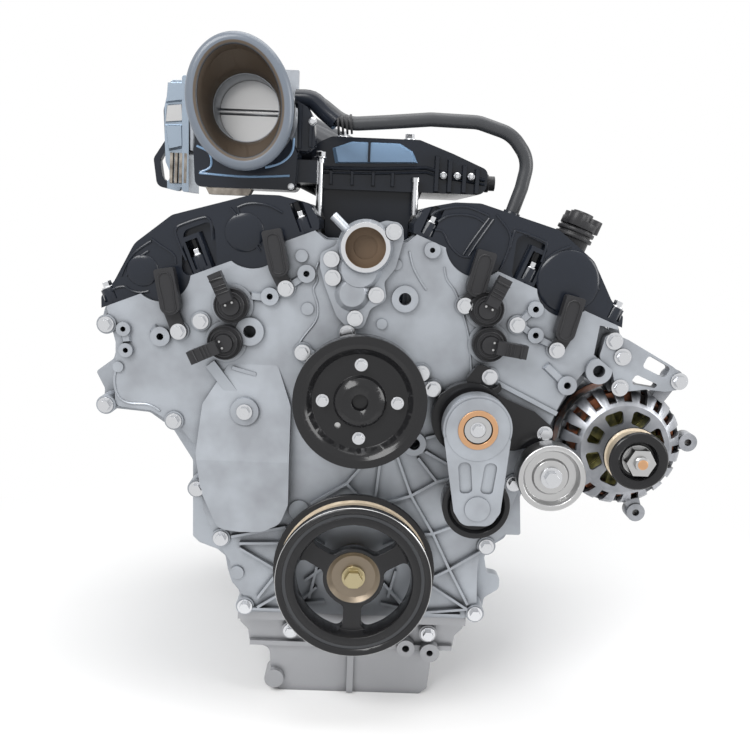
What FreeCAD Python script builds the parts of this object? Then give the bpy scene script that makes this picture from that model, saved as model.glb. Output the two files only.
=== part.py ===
"""V-six engine: block, heads, timing drive, front accessories and intake, in millimetres.

Frame: origin at the centre of the crankshaft's rear flange, on the block's rear face.
+X points to the alternator side, -Y points to the pulleys, +Z points up.
"""
import FreeCAD, Part
import math
import os
import Sketcher
from FreeCAD import Vector

doc = FreeCAD.newDocument("v_six_engine")


# Sizes

class Size(float):
    """A number that remembers the sheet expression it was worked out from."""

    def __new__(cls, number, text=None):
        new = super().__new__(cls, number)
        new.text = text if text is not None else repr(float(number))
        return new

    def __add__(self, other):
        return Size(float(self) + float(other), "(%s + %s)" % (self.text, text_of(other)))

    def __radd__(self, other):
        return Size(float(other) + float(self), "(%s + %s)" % (text_of(other), self.text))

    def __sub__(self, other):
        return Size(float(self) - float(other), "(%s - %s)" % (self.text, text_of(other)))

    def __rsub__(self, other):
        return Size(float(other) - float(self), "(%s - %s)" % (text_of(other), self.text))

    def __mul__(self, other):
        return Size(float(self) * float(other), "(%s * %s)" % (self.text, text_of(other)))

    def __rmul__(self, other):
        return Size(float(other) * float(self), "(%s * %s)" % (text_of(other), self.text))

    def __truediv__(self, other):
        return Size(float(self) / float(other), "(%s / %s)" % (self.text, text_of(other)))

    def __neg__(self):
        return Size(-float(self), "(0 - %s)" % self.text)


def text_of(value):
    return value.text if isinstance(value, Size) else repr(float(value))


DRIVING = {
    # fits
    "running_fit": 0.05, "seat_gap": 0.3, "gasket": 1.2,
    # block and crankcase
    "block_length": 415, "bore": 94, "stroke": 85.6, "bore_spacing": 103, "deck_height": 235,
    "bank_angle": 30, "deck_inner": 85, "deck_outer": 105, "rail_half_width": 139,
    "pan_rail_drop": 70, "skirt_half_width": 155, "waist_half_width": 190, "crankcase_radius": 95,
    "valley_floor": 212, "web": 20, "main_radius": 34, "pin_radius": 28, "pin_length": 20,
    "split_web": 6, "rear_flange_radius": 50, "rear_flange": 12, "flange_bolt_circle": 82,
    "flange_bolt_hole": 5.5,
    # heads and cam covers
    "rail_inner_x": 57, "rail_inner_height": 390, "rail_slope": 0.4, "rail_outer_x": 297,
    "head_rear": 15, "cam_in_x": 127, "cam_in_height": 383, "cam_ex_x": 229, "cam_ex_height": 338,
    "cam_radius": 13, "lobe_radius": 17, "lobe_lift": 8, "cover_wall": 5, "cover_front": 455,
    "dip_in_radius": 38, "dip_ex_radius": 34, "link_pitch": 9.215,
    # timing cover and timing drive
    "flange": 15, "cover_depth": 45, "front_wall": 6, "rail_band": 10, "rib": 3, "rib_height": 6,
    "nose_radius": 22, "relay_x": 118, "relay_height": 185, "chain_height": 4.5,
    "chain_width": 8, "primary_plane": 427, "secondary_plane": 439, "bulge": 18,
    # belt drive
    "belt_plane": 499, "belt_width": 26, "damper_radius": 89, "damper_flange_radius": 94,
    "damper_band_radius": 85, "damper_window_radius": 68, "damper_front": 520, "damper_length": 38,
    "isolator": 4, "rim_wall": 12, "spoke_width": 21, "spoke_thickness": 15, "hub_radius": 29,
    "hub_face": 502, "seal_radius": 25, "pump_height": 206, "pump_pulley_radius": 74,
    "pump_bolt_circle": 83, "pulley_wall": 4, "tensioner_x": 130, "tensioner_height": 183,
    "tensioner_pulley_x": 134.5, "tensioner_pulley_height": 93, "tensioner_radius": 38,
    "idler_x": 217, "idler_height": 128.5, "idler_radius": 38, "alternator_x": 312,
    "alternator_height": 152, "alternator_radius": 72.5, "alternator_pulley_radius": 33,
    # thermostat, throttle and intake
    "thermostat_height": 374, "thermostat_radius": 27, "thermostat_mouth": 478,
    "duct_x": -142, "duct_height": 524, "duct_half_width": 58.5, "duct_half_height": 73,
    "duct_wall": 6.5, "duct_front": 470, "duct_lean": 12,
    "throttle_bore": 37, "hose_radius": 8, "filler_x": 262, "filler_y": 395, "filler_height": 384,
    # fasteners
    "bolt_head": 6.5, "bolt_flange": 9, "bolt_shank": 4, "boss_radius": 11,
    # oil pan
    "pan_depth": 115, "pan_half_width": 102, "pan_wall": 5, "pan_step": 50,
}

sheet = doc.addObject("Spreadsheet::Sheet", "Sizes")
for row, (alias, value) in enumerate(DRIVING.items(), 1):
    sheet.set("A%d" % row, alias)
    sheet.set("B%d" % row, repr(value))
    sheet.setAlias("B%d" % row, alias)
doc.recompute()


class Sizes:
    """The sheet's cells by name."""

    def __getattr__(self, alias):
        return Size(sheet.get(alias), "Sizes." + alias)


S = Sizes()
made = {}


# Ways of making a piece

def bind(thing, name, size):
    """Gives a property its size and the expression behind it."""
    setattr(thing, name, float(size))
    if isinstance(size, Size):
        thing.setExpression(name, size.text)


def keep(label, shape, centre=(0, 0, 0)):
    """A sub-part whose shape is worked out with Part's functions."""
    piece = doc.addObject("Part::Feature", label)
    piece.Label = label
    piece.Shape = shape
    piece.Placement = FreeCAD.Placement(Vector(*centre), FreeCAD.Rotation())
    made[label] = piece
    return piece


def plane_of(body, role):
    return [item for item in body.Origin.OriginFeatures if item.Role == role][0]


def outline_sketch(body, role, name, corners):
    """A closed outline whose corners are each held to their sizes."""
    sketch = body.newObject("Sketcher::SketchObject", name)
    sketch.AttachmentSupport = [(plane_of(body, role), "")]
    sketch.MapMode = "FlatFace"
    count = len(corners)
    for index in range(count):
        ends = [Vector(*corners[index], 0), Vector(*corners[(index + 1) % count], 0)]
        sketch.addGeometry(Part.LineSegment(*ends), False)
    for index in range(count):
        sketch.addConstraint(Sketcher.Constraint("Coincident", index, 2, (index + 1) % count, 1))
    for index, corner in enumerate(corners):
        for way, size in zip(("DistanceX", "DistanceY"), corner):
            place = sketch.addConstraint(Sketcher.Constraint(way, -1, 1, index, 1, float(size)))
            if isinstance(size, Size):
                sketch.setExpression("Constraints[%d]" % place, size.text)
    return sketch


def place(body, x, y, height):
    body.Placement.Base = Vector(x, y, height)
    for axis, size in zip("xyz", (x, y, height)):
        if isinstance(size, Size):
            body.setExpression("Placement.Base." + axis, size.text)


def turned(label, corners, x=0, height=0):
    """A turned piece: corners are (radius, y) pairs, spun about the fore-and-aft direction."""
    body = doc.addObject("PartDesign::Body", label)
    body.Label = label
    sketch = outline_sketch(body, "XY_Plane", label + "_profile", corners)
    spin = body.newObject("PartDesign::Revolution", label + "_spin")
    spin.Profile = sketch
    spin.ReferenceAxis = (sketch, ["V_Axis"])
    spin.Angle = 360
    place(body, x, 0, height)
    made[label] = body
    return body


def drilled(label, tools):
    """Cuts holes and windows out of a turned piece."""
    base = made[label]
    base.Label = base.Name + "_blank"
    tool = doc.addObject("Part::Feature", label + "_holes")
    tool.Shape = fused(*tools) if len(tools) > 1 else tools[0]
    piece = doc.addObject("Part::Cut", label + "_cut")
    piece.Base = base
    piece.Tool = tool
    piece.Label = label
    made[label] = piece
    return piece


def joined(label, shapes):
    """Adds lugs and ribs to a piece made so far."""
    base = made[label]
    base.Label = label + "_body"
    extra = doc.addObject("Part::Feature", label + "_lugs")
    extra.Shape = fused(*shapes)
    piece = doc.addObject("Part::Fuse", label + "_joined")
    piece.Base = base
    piece.Tool = extra
    piece.Refine = True
    piece.Label = label
    made[label] = piece
    return piece


def outline(points, radius=0.0, y=0.0):
    """Closed wire in the X-Z plane with its corners rounded. A point may carry its own radius."""
    corners = [Vector(point[0], y, point[1]) for point in points]
    radii = [point[2] if len(point) > 2 else radius for point in points]
    count = len(corners)
    stops = []
    for index, corner in enumerate(corners):
        back = corners[index - 1] - corner
        ahead = corners[(index + 1) % count] - corner
        half = back.getAngle(ahead) / 2
        reach = min(radii[index] / math.tan(half), 0.49 * min(back.Length, ahead.Length))
        back.normalize()
        ahead.normalize()
        inward = back + ahead
        if reach < 0.01 or inward.Length < 0.001:
            stops.append((corner, corner, corner))
            continue
        inward.normalize()
        middle = corner + inward * (reach / math.cos(half) - reach * math.tan(half))
        stops.append((corner + back * reach, middle, corner + ahead * reach))
    edges = []
    for index, (start, middle, end) in enumerate(stops):
        if (end - start).Length > 0.001:
            edges.append(Part.Arc(start, middle, end).toShape())
        following = stops[(index + 1) % count][0]
        if (following - end).Length > 0.001:
            edges.append(Part.LineSegment(end, following).toShape())
    return Part.Wire(edges)


def slab(points, front, rear, radius=0.0):
    """A plate of the given X-Z outline between two depths."""
    return Part.Face(outline(points, radius, rear)).extrude(Vector(0, front - rear, 0))


def rod(x, height, radius, front, rear):
    return Part.makeCylinder(radius, rear - front, Vector(x, front, height), Vector(0, 1, 0))


def block(x_low, x_high, y_low, y_high, z_low, z_high):
    return Part.makeBox(x_high - x_low, y_high - y_low, z_high - z_low, Vector(x_low, y_low, z_low))


def cone(x, height, radius_front, radius_rear, front, rear):
    return Part.makeCone(radius_front, radius_rear, rear - front, Vector(x, front, height),
                         Vector(0, 1, 0))


def fused(first, *others):
    solid = first.fuse(list(others)) if others else first
    return solid.removeSplitter()


def mirrored(shape):
    return shape.mirror(Vector(0, 0, 0), Vector(1, 0, 0))


def flip(points):
    return [(-point[0],) + tuple(point[1:]) for point in reversed(points)]


def hexagon(centre, across, height, way):
    """A hexagonal prism standing on its centre point and growing along a direction."""
    ring = [Vector(across * math.cos(math.radians(60 * k)), across * math.sin(math.radians(60 * k)), 0)
            for k in range(7)]
    prism = Part.Face(Part.makePolygon(ring)).extrude(Vector(0, 0, height))
    prism.Placement = FreeCAD.Placement(centre, FreeCAD.Rotation(Vector(0, 0, 1), way))
    return prism


def flange_bolt(seat, way, shank=12.0, scale=1.0):
    """A flanged hexagon bolt: its seat, the direction its head grows, and its shank behind."""
    way = Vector(way)
    way.normalize()
    flange = Part.makeCylinder(S.bolt_flange * scale, 2, seat, way)
    head = hexagon(seat + way * 2, S.bolt_head * scale, 6, way)
    stem = Part.makeCylinder(S.bolt_shank, shank, seat - way * shank, way)
    return fused(flange, head, stem)


FORWARD = Vector(0, -1, 0)


# Places shared by several pieces

FACE = -S.block_length
BANK = math.radians(S.bank_angle)
END_GAP = 1.5
CHEEK = (S.bore_spacing - S.web - 2 * END_GAP - 2 * S.pin_length - S.split_web) / 2
BAYS = [FACE + S.web + k * S.bore_spacing for k in range(3)]
BAY_LENGTH = S.bore_spacing - S.web
PIN_RIGHT = END_GAP + CHEEK + S.pin_length / 2
PIN_LEFT = PIN_RIGHT + S.pin_length + S.split_web


def deck_point(along, up=0.0):
    """A point of the right bank: along the deck outwards, and up from it."""
    x = (S.deck_height + up) * math.sin(BANK) + along * math.cos(BANK)
    return (float(x), float((S.deck_height + up) * math.cos(BANK) - along * math.sin(BANK)))


def rail_height(x):
    """Height of the rail under the cam covers."""
    return float(S.rail_inner_height - (abs(x) - S.rail_inner_x) * S.rail_slope)


RAIL_TILT = math.atan(S.rail_slope)
RAIL_UP = Vector(math.sin(RAIL_TILT), 0, math.cos(RAIL_TILT))
CAMS = {"intake": (float(S.cam_in_x), float(S.cam_in_height)),
        "exhaust": (float(S.cam_ex_x), float(S.cam_ex_height))}
DIPS = {"intake": S.dip_in_radius, "exhaust": S.dip_ex_radius}
PLUG_FOOT = Vector(deck_point(0)[0], 0, deck_point(0)[1])
PLUG_AIM = Vector((S.cam_in_x + S.cam_ex_x) / 2, 0, (S.cam_in_height + S.cam_ex_height) / 2)
PLUG_WAY = (PLUG_AIM - PLUG_FOOT).normalize()
PLUG_SIDE = Vector(PLUG_WAY.z, 0, -PLUG_WAY.x)
SADDLES = [FACE + 15 + k * S.bore_spacing for k in range(4)]
SADDLE = 12


def plug_point(up, side=0.0, y=0.0):
    spot = PLUG_FOOT + PLUG_WAY * up + PLUG_SIDE * side
    return Vector(spot.x, y, spot.z)


def cylinder_y(bank):
    shift = PIN_RIGHT if bank > 0 else PIN_LEFT
    return [bay + shift for bay in BAYS]


# Block, crankshaft and pistons

def engine_block():
    half = [deck_point(-S.deck_inner), deck_point(S.deck_outer), (196, 118, 12),
            (S.waist_half_width, 75, 12), (S.waist_half_width - 2, 22, 12), (S.skirt_half_width, 0, 12),
            (S.skirt_half_width - 5, -45, 10), (S.rail_half_width, -S.pan_rail_drop, 0)]
    floor = [(30, S.valley_floor, 8)]
    body = slab(flip(half) + flip(floor) + floor + half, FACE, 0)
    tools = []
    for bay in BAYS:
        tools.append(rod(0, 0, S.crankcase_radius, bay, bay + BAY_LENGTH))
        tools.append(block(-S.crankcase_radius, S.crankcase_radius, bay, bay + BAY_LENGTH,
                           -S.pan_rail_drop - 1, 0))
    tools.append(rod(0, 0, S.main_radius + S.running_fit, FACE - 1, 1))
    tools.append(rod(0, 0, SEAL_RADIUS, -S.rear_flange, 1))
    tools.append(rod(0, 0, S.rear_flange_radius + 1, -S.rear_flange - FLANGE_CLEAR, 0))
    for web in MAINS[:3]:
        tools.append(block(-CAP_HALF, CAP_HALF, web, web + S.web, -S.pan_rail_drop - 1, 0))
    for bank in (1, -1):
        way = Vector(bank * math.sin(BANK), 0, math.cos(BANK))
        for y in cylinder_y(bank):
            start = way * 60 + Vector(0, y, 0)
            tools.append(Part.makeCylinder(S.bore / 2, S.deck_height, start, way))
    tools += pan_rail_bolts()[1]
    keep("engine_block", body.cut(tools).removeSplitter())


BRIDGE_HALF = 31
CAP_HALF = 62
CAP_DROP = 62
SEAL_RADIUS = 90
FLANGE_CLEAR = 2
MAINS = [FACE, FACE + S.bore_spacing, FACE + 2 * S.bore_spacing, FACE + 3 * S.bore_spacing]


def main_bearing_caps():
    caps = []
    for web in MAINS[:3]:
        cap = block(-CAP_HALF + S.seat_gap, CAP_HALF - S.seat_gap, web, web + S.web, -CAP_DROP, 0)
        caps.append(cap.cut(rod(0, 0, S.main_radius + S.running_fit, web - 1, web + S.web + 1)))
    keep("main_bearing_caps", Part.makeCompound(caps))


def crankshaft():
    throw = S.stroke / 2
    solids = [rod(0, 0, S.main_radius, MAINS[0], BAYS[0] + END_GAP),
              rod(0, 0, S.nose_radius, NOSE_FRONT, FACE),
              rod(0, 0, S.rear_flange_radius, -S.rear_flange, 0),
              rod(0, 0, S.main_radius, MAINS[3] - END_GAP, -S.rear_flange)]
    for index in (1, 2):
        solids.append(rod(0, 0, S.main_radius, MAINS[index] - END_GAP, MAINS[index] + S.web + END_GAP))
    for index, bay in enumerate(BAYS):
        start = bay + END_GAP
        for half, angle in enumerate((120 * index + 30, 120 * index - 30)):
            spin = math.radians(angle)
            pin = Vector(throw * math.sin(spin), 0, throw * math.cos(spin))
            pin_start = start + CHEEK + half * (S.pin_length + S.split_web)
            solids.append(rod(pin.x, pin.z, S.pin_radius, pin_start, pin_start + S.pin_length))
            cheek_start = start if half == 0 else pin_start + S.pin_length
            arm = rod(pin.x, pin.z, S.pin_radius + 6, cheek_start, cheek_start + CHEEK)
            bridge = block(-BRIDGE_HALF, BRIDGE_HALF, cheek_start, cheek_start + CHEEK, 0, throw)
            weight = rod(0, 0, S.stroke - 8, cheek_start, cheek_start + CHEEK).common(
                block(-90, 90, cheek_start, cheek_start + CHEEK, -90, -6))
            turn = FreeCAD.Placement(Vector(0, 0, 0), FreeCAD.Rotation(Vector(0, 1, 0), angle))
            for piece in (bridge, weight):
                piece.Placement = turn
            solids += [arm, bridge, weight]
            solids.append(rod(0, 0, S.main_radius, cheek_start, cheek_start + CHEEK))
        middle = start + CHEEK + S.pin_length
        solids.append(rod(0, 0, throw + S.pin_radius + 3, middle, middle + S.split_web))
    shaft = fused(*solids)
    holes = [rod(0, 0, 16, -20, 1)]
    for k in range(8):
        spin = math.radians(45 * k)
        reach = S.flange_bolt_circle / 2
        holes.append(rod(reach * math.sin(spin), reach * math.cos(spin), S.flange_bolt_hole,
                         -S.rear_flange - 1, 1))
    keep("crankshaft", shaft.cut(holes))


def rear_seal_housing():
    inner = S.rear_flange_radius + S.running_fit
    outer = SEAL_RADIUS - S.seat_gap
    turned("rear_seal_housing", [(inner, -S.rear_flange), (outer, -S.rear_flange), (outer, Size(0)),
                                 (inner, Size(0))])


def pistons():
    solids = []
    for bank in (1, -1):
        for index, y in enumerate(cylinder_y(bank)):
            angle = math.radians(120 * index + 30 * bank) - bank * BANK
            throw = S.stroke / 2
            pin = throw * math.cos(angle) + math.sqrt(ROD_LENGTH ** 2 - (throw * math.sin(angle)) ** 2)
            way = Vector(bank * math.sin(BANK), 0, math.cos(BANK))
            foot = way * (pin - 18) + Vector(0, y, 0)
            crown = Part.makeCylinder(S.bore / 2 - S.seat_gap, 18 + CROWN_RISE, foot, way)
            hollow = Part.makeCylinder(S.bore / 2 - 7, 30, foot - way, way)
            wrist = Part.makeCylinder(WRIST_RADIUS, 2 * WRIST_HALF, way * pin + Vector(0, y - WRIST_HALF, 0),
                                      Vector(0, 1, 0))
            solids.append(fused(crown.cut(hollow), wrist))
    keep("pistons", Part.makeCompound(solids))


WRIST_RADIUS = 11
WRIST_HALF = 42
ROD_LENGTH = 152.4
CROWN_RISE = 36


# Heads, camshafts and cam covers

def head_outline():
    lift = S.gasket
    return [deck_point(-S.deck_inner, lift), deck_point(S.deck_outer, lift), (232, 172, 12),
            (262, 225, 16), (284, 264, 10), (S.rail_outer_x, rail_height(S.rail_outer_x), 0),
            (S.rail_inner_x, rail_height(S.rail_inner_x), 0)]


def cylinder_head():
    rear = -S.head_rear
    head = slab(head_outline(), FACE, rear)
    cuts = []
    adds = []
    for x, z in CAMS.values():
        cuts.append(rod(x, z, S.lobe_radius + S.lobe_lift + 3, FACE + 3, rear - 3))
        for y in SADDLES:
            adds.append(rod(x, z, S.cam_radius + 7, y, y + SADDLE))
            foot = rail_height(x) - 14
            adds.append(block(x - S.cam_radius - 4, x + S.cam_radius + 4, y, y + SADDLE, foot, z))
    head = fused(head.cut(cuts), *adds)
    bores = [rod(x, z, S.cam_radius + S.running_fit, FACE - 1, rear + 1) for x, z in CAMS.values()]
    return head.cut(bores)


def port_pad(foot, way, y, width, height, rise, hole):
    """A machined pad with a port and two stud holes, on the side of a head."""
    pad = Part.makeBox(width, height, rise + 4, Vector(-width / 2, -height / 2, -4))
    pad = pad.makeFillet(8, [edge for edge in pad.Edges if edge.Length == rise + 4])
    port = Part.makeCylinder(hole, rise + 6, Vector(0, 0, -2))
    studs = [Part.makeCylinder(4, rise + 8, Vector(side * (width / 2 - 9), 0, -4)) for side in (-1, 1)]
    turn = FreeCAD.Placement(Vector(foot[0], y, foot[1]), FreeCAD.Rotation(
        Vector(0, 1, 0), Vector(-way.z, 0, way.x), way, "ZYX"))
    for piece in [pad, port] + studs:
        piece.Placement = turn
    return pad, [port] + studs


def head_ports(sign):
    """The three exhaust pads on the right head's outer side."""
    pads = []
    holes = []
    way = Vector(0.871, 0, -0.491)
    for y in cylinder_y(sign):
        pad, cuts = port_pad(PORT_FOOT, way, y, PORT_WIDTH, PORT_HEIGHT, PORT_RISE, PORT_RADIUS)
        pads.append(pad)
        holes += cuts
    return pads, holes


def cylinder_heads():
    right = cylinder_head()
    for bank, shape in (("right", right), ("left", mirrored(right))):
        sign = 1 if bank == "right" else -1
        wells = []
        for y in cylinder_y(sign):
            well = Part.makeCylinder(WELL_RADIUS, 300, plug_point(PLUG_SEAT, 0, y), PLUG_WAY)
            thread = Part.makeCylinder(7 + S.running_fit, PLUG_SEAT + 30, plug_point(-20, 0, y), PLUG_WAY)
            for tool in (well, thread):
                wells.append(tool if sign > 0 else mirrored(tool))
        wells += [drill.copy() for drill in cover_drills(sign)]
        pads, holes = head_ports(sign)
        if sign < 0:
            pads = [mirrored(pad) for pad in pads]
            holes = [mirrored(hole) for hole in holes]
        keep("cylinder_head_" + bank, fused(shape, *pads).cut(wells + holes))
    plates = []
    for sign in (1, -1):
        low = [deck_point(-S.deck_inner), deck_point(S.deck_outer)]
        high = [deck_point(S.deck_outer, S.gasket), deck_point(-S.deck_inner, S.gasket)]
        plate = slab(low + high, FACE, -S.head_rear)
        if sign < 0:
            plate = mirrored(plate)
        way = Vector(sign * math.sin(BANK), 0, math.cos(BANK))
        holes = [Part.makeCylinder(S.bore / 2, 30, way * (S.deck_height - 10) + Vector(0, y, 0), way)
                 for y in cylinder_y(sign)]
        plates.append(plate.cut(holes))
    keep("head_gaskets", Part.makeCompound(plates))


PORT_FOOT = (262, 225)
PORT_WIDTH = 84
PORT_HEIGHT = 40
PORT_RISE = 7
PORT_RADIUS = 14
WELL_RADIUS = 12.5
PLUG_SEAT = 34
COIL_FLOOR = 190
CHANNEL_HALF = 21
CHANNEL_FRONT = -422
POCKET = 9


def toothed(x, z, radius, teeth, y_middle):
    """A chain wheel with flat-topped teeth."""
    points = []
    for tooth in range(teeth):
        for part, reach in ((0.1, -2.2), (0.35, 0.6), (0.65, 0.6), (0.9, -2.2)):
            spin = 2 * math.pi * (tooth + part) / teeth
            points.append((x + (radius + reach) * math.sin(spin), z + (radius + reach) * math.cos(spin)))
    half = S.chain_width / 2
    return slab(points, y_middle - half, y_middle + half)


def wheel_radius(teeth):
    return float(teeth * S.link_pitch / (2 * math.pi))


def camshafts():
    for bank, sign in (("right", 1), ("left", -1)):
        for kind, (x, z) in CAMS.items():
            x *= sign
            front = -S.secondary_plane - S.chain_width / 2 - 2
            solids = [rod(x, z, S.cam_radius, front, -S.head_rear - 8)]
            solids.append(toothed(x, z, wheel_radius(CAM_TEETH), CAM_TEETH, -S.secondary_plane))
            for index, y in enumerate(cylinder_y(sign)):
                spin = math.radians(120 * index + (60 if kind == "intake" else 180))
                for side in (-LOBE_OUT, LOBE_OUT):
                    solids.append(lobe(x, z, y + side, spin))
            keep("camshaft_%s_%s" % (kind, bank), fused(*solids))


def lobe(x, z, y, spin):
    """An egg-shaped cam lobe around a camshaft axis."""
    points = []
    for k in range(12):
        angle = 2 * math.pi * k / 12
        reach = S.lobe_radius + S.lobe_lift * max(0.0, math.cos(angle)) ** 2
        points.append((x + reach * math.sin(angle + spin), z + reach * math.cos(angle + spin)))
    return slab(points, y - LOBE_HALF, y + LOBE_HALF)


LOBE_OUT = 15
LOBE_HALF = 5
CRANK_TEETH = 18
RELAY_TEETH = 27
RELAY_SMALL_TEETH = 15
CAM_TEETH = 20
CHAIN_GAP = 0.9


# Timing drive

def relay_wheels():
    """The double wheels that step the crank's drive down to the camshafts."""
    for bank, sign in (("right", 1), ("left", -1)):
        x = sign * S.relay_x
        z = S.relay_height
        half = S.chain_width / 2
        big = toothed(x, z, wheel_radius(RELAY_TEETH), RELAY_TEETH, -S.primary_plane)
        small = toothed(x, z, wheel_radius(RELAY_SMALL_TEETH), RELAY_SMALL_TEETH, -S.secondary_plane)
        hub = rod(x, z, 15, -S.secondary_plane - half, -S.primary_plane + half)
        wheel = fused(big, small, hub)
        keep("relay_wheel_" + bank, wheel.cut(rod(x, z, RELAY_PIN + S.running_fit, -460, FACE)))
    pins = []
    for sign in (1, -1):
        pin = rod(sign * S.relay_x, S.relay_height, RELAY_PIN, -S.secondary_plane - 5, FACE)
        collar = rod(sign * S.relay_x, S.relay_height, 13, -S.primary_plane + S.chain_width / 2 + 0.3, FACE)
        pins.append(fused(pin, collar))
    keep("relay_pins", Part.makeCompound(pins))


RELAY_PIN = 9


def chain_loop(wheels, y_middle):
    """A chain drawn as a plain band that hugs its wheels, clear of their teeth."""
    faces = []
    for grow in (CHAIN_GAP + S.chain_height, CHAIN_GAP):
        circles = [(x, z, radius + grow) for x, z, radius in wheels]
        faces.append(Part.Face(hug(circles, y_middle - S.chain_width / 2)))
    return faces[0].cut(faces[1]).extrude(Vector(0, S.chain_width, 0))


def hug(circles, y):
    """The closed wire round a ring of circles, given anticlockwise."""
    count = len(circles)
    normals = []
    for index in range(count):
        x, z, radius = circles[index]
        next_x, next_z, next_radius = circles[(index + 1) % count]
        run = math.hypot(next_x - x, next_z - z)
        heading = math.atan2(next_z - z, next_x - x)
        normals.append(heading - math.acos((radius - next_radius) / run))
    edges = []
    for index in range(count):
        x, z, radius = circles[index]
        start = normals[index - 1]
        end = normals[index]
        while end < start:
            end += 2 * math.pi
        stops = [Vector(x + radius * math.cos(a), y, z + radius * math.sin(a))
                 for a in (start, (start + end) / 2, end)]
        edges.append(Part.Arc(*stops).toShape())
        next_x, next_z, next_radius = circles[(index + 1) % count]
        far = Vector(next_x + next_radius * math.cos(end), y, next_z + next_radius * math.sin(end))
        edges.append(Part.LineSegment(stops[2], far).toShape())
    return Part.Wire(edges)


def timing_chains():
    big = wheel_radius(RELAY_TEETH)
    small = wheel_radius(RELAY_SMALL_TEETH)
    cam = wheel_radius(CAM_TEETH)
    relay_x = float(S.relay_x)
    relay_z = float(S.relay_height)
    primary = [(0, 0, wheel_radius(CRANK_TEETH)), (relay_x, relay_z, big), (-relay_x, relay_z, big)]
    loops = [chain_loop(primary, -S.primary_plane)]
    right = [(relay_x, relay_z, small), CAMS["exhaust"] + (cam,), CAMS["intake"] + (cam,)]
    loop = chain_loop(right, -S.secondary_plane)
    loops += [loop, mirrored(loop)]
    keep("timing_chains", Part.makeCompound(loops))


def crank_sprocket():
    half = S.chain_width / 2
    wheel = toothed(0, 0, wheel_radius(CRANK_TEETH), CRANK_TEETH, -S.primary_plane)
    sleeve = rod(0, 0, S.seal_radius, HUB_REAR, FACE - 2)
    wheel = fused(wheel, sleeve)
    keep("crank_sprocket", wheel.cut(rod(0, 0, S.nose_radius + S.running_fit, HUB_REAR - 1, FACE)))


# Fastener groups

def bolts_with_drills(seats, way, shank, scale=1.0):
    """Bolts at the seats, and the holes that their shanks need."""
    solids = [flange_bolt(Vector(*seat), way, shank, scale) for seat in seats]
    unit = Vector(way).normalize()
    drills = [Part.makeCylinder(S.bolt_shank + S.running_fit, shank + 1, Vector(*seat) - unit * shank, unit)
              for seat in seats]
    return solids, drills


COVER_SEAT = 18
RELIEF = 8.6
FILLER_RADIUS = 19
COVER_BOLT_SHANK = 26
COVER_COLUMNS = (66, 182, 284)
COLUMN_Y = -446
COLUMN_RELIEF = 11.5
COLUMN_REACH = 42
COVER_BOLT_ROW = (-330, -225, -120, -32)


def cover_bolt_seats():
    """Seats of the right cover's bolts: three columns at the front, then a row along each long edge."""
    seats = []
    for x in COVER_COLUMNS:
        seats.append(Vector(x, COLUMN_Y, rail_height(x)) + RAIL_UP * COVER_SEAT)
    for y in COVER_BOLT_ROW:
        for x in (S.rail_inner_x + 7, S.rail_outer_x - 9):
            seats.append(Vector(x, y, rail_height(x)) + RAIL_UP * COVER_SEAT)
    return seats


def cover_drills(sign):
    solids, drills = bolts_with_drills(cover_bolt_seats(), RAIL_UP, COVER_BOLT_SHANK, 0.85)
    return drills if sign > 0 else [mirrored(drill) for drill in drills]


COVER_TOP = [(53, 401, 5), (65, 420, 14), (98, 427, 24), (127, 427, 16), (217, 401, 16), (259, 368, 24),
             (282, 325, 16), (297, 307, 6)]


def cover_profile(inset=0.0):
    rail = [(S.rail_outer_x, rail_height(S.rail_outer_x), 0), (S.rail_inner_x - 4, rail_height(57) + 1.6, 0)]
    if not inset:
        return outline(COVER_TOP + rail)
    return outline(COVER_TOP + rail).makeOffset2D(-inset)


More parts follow.
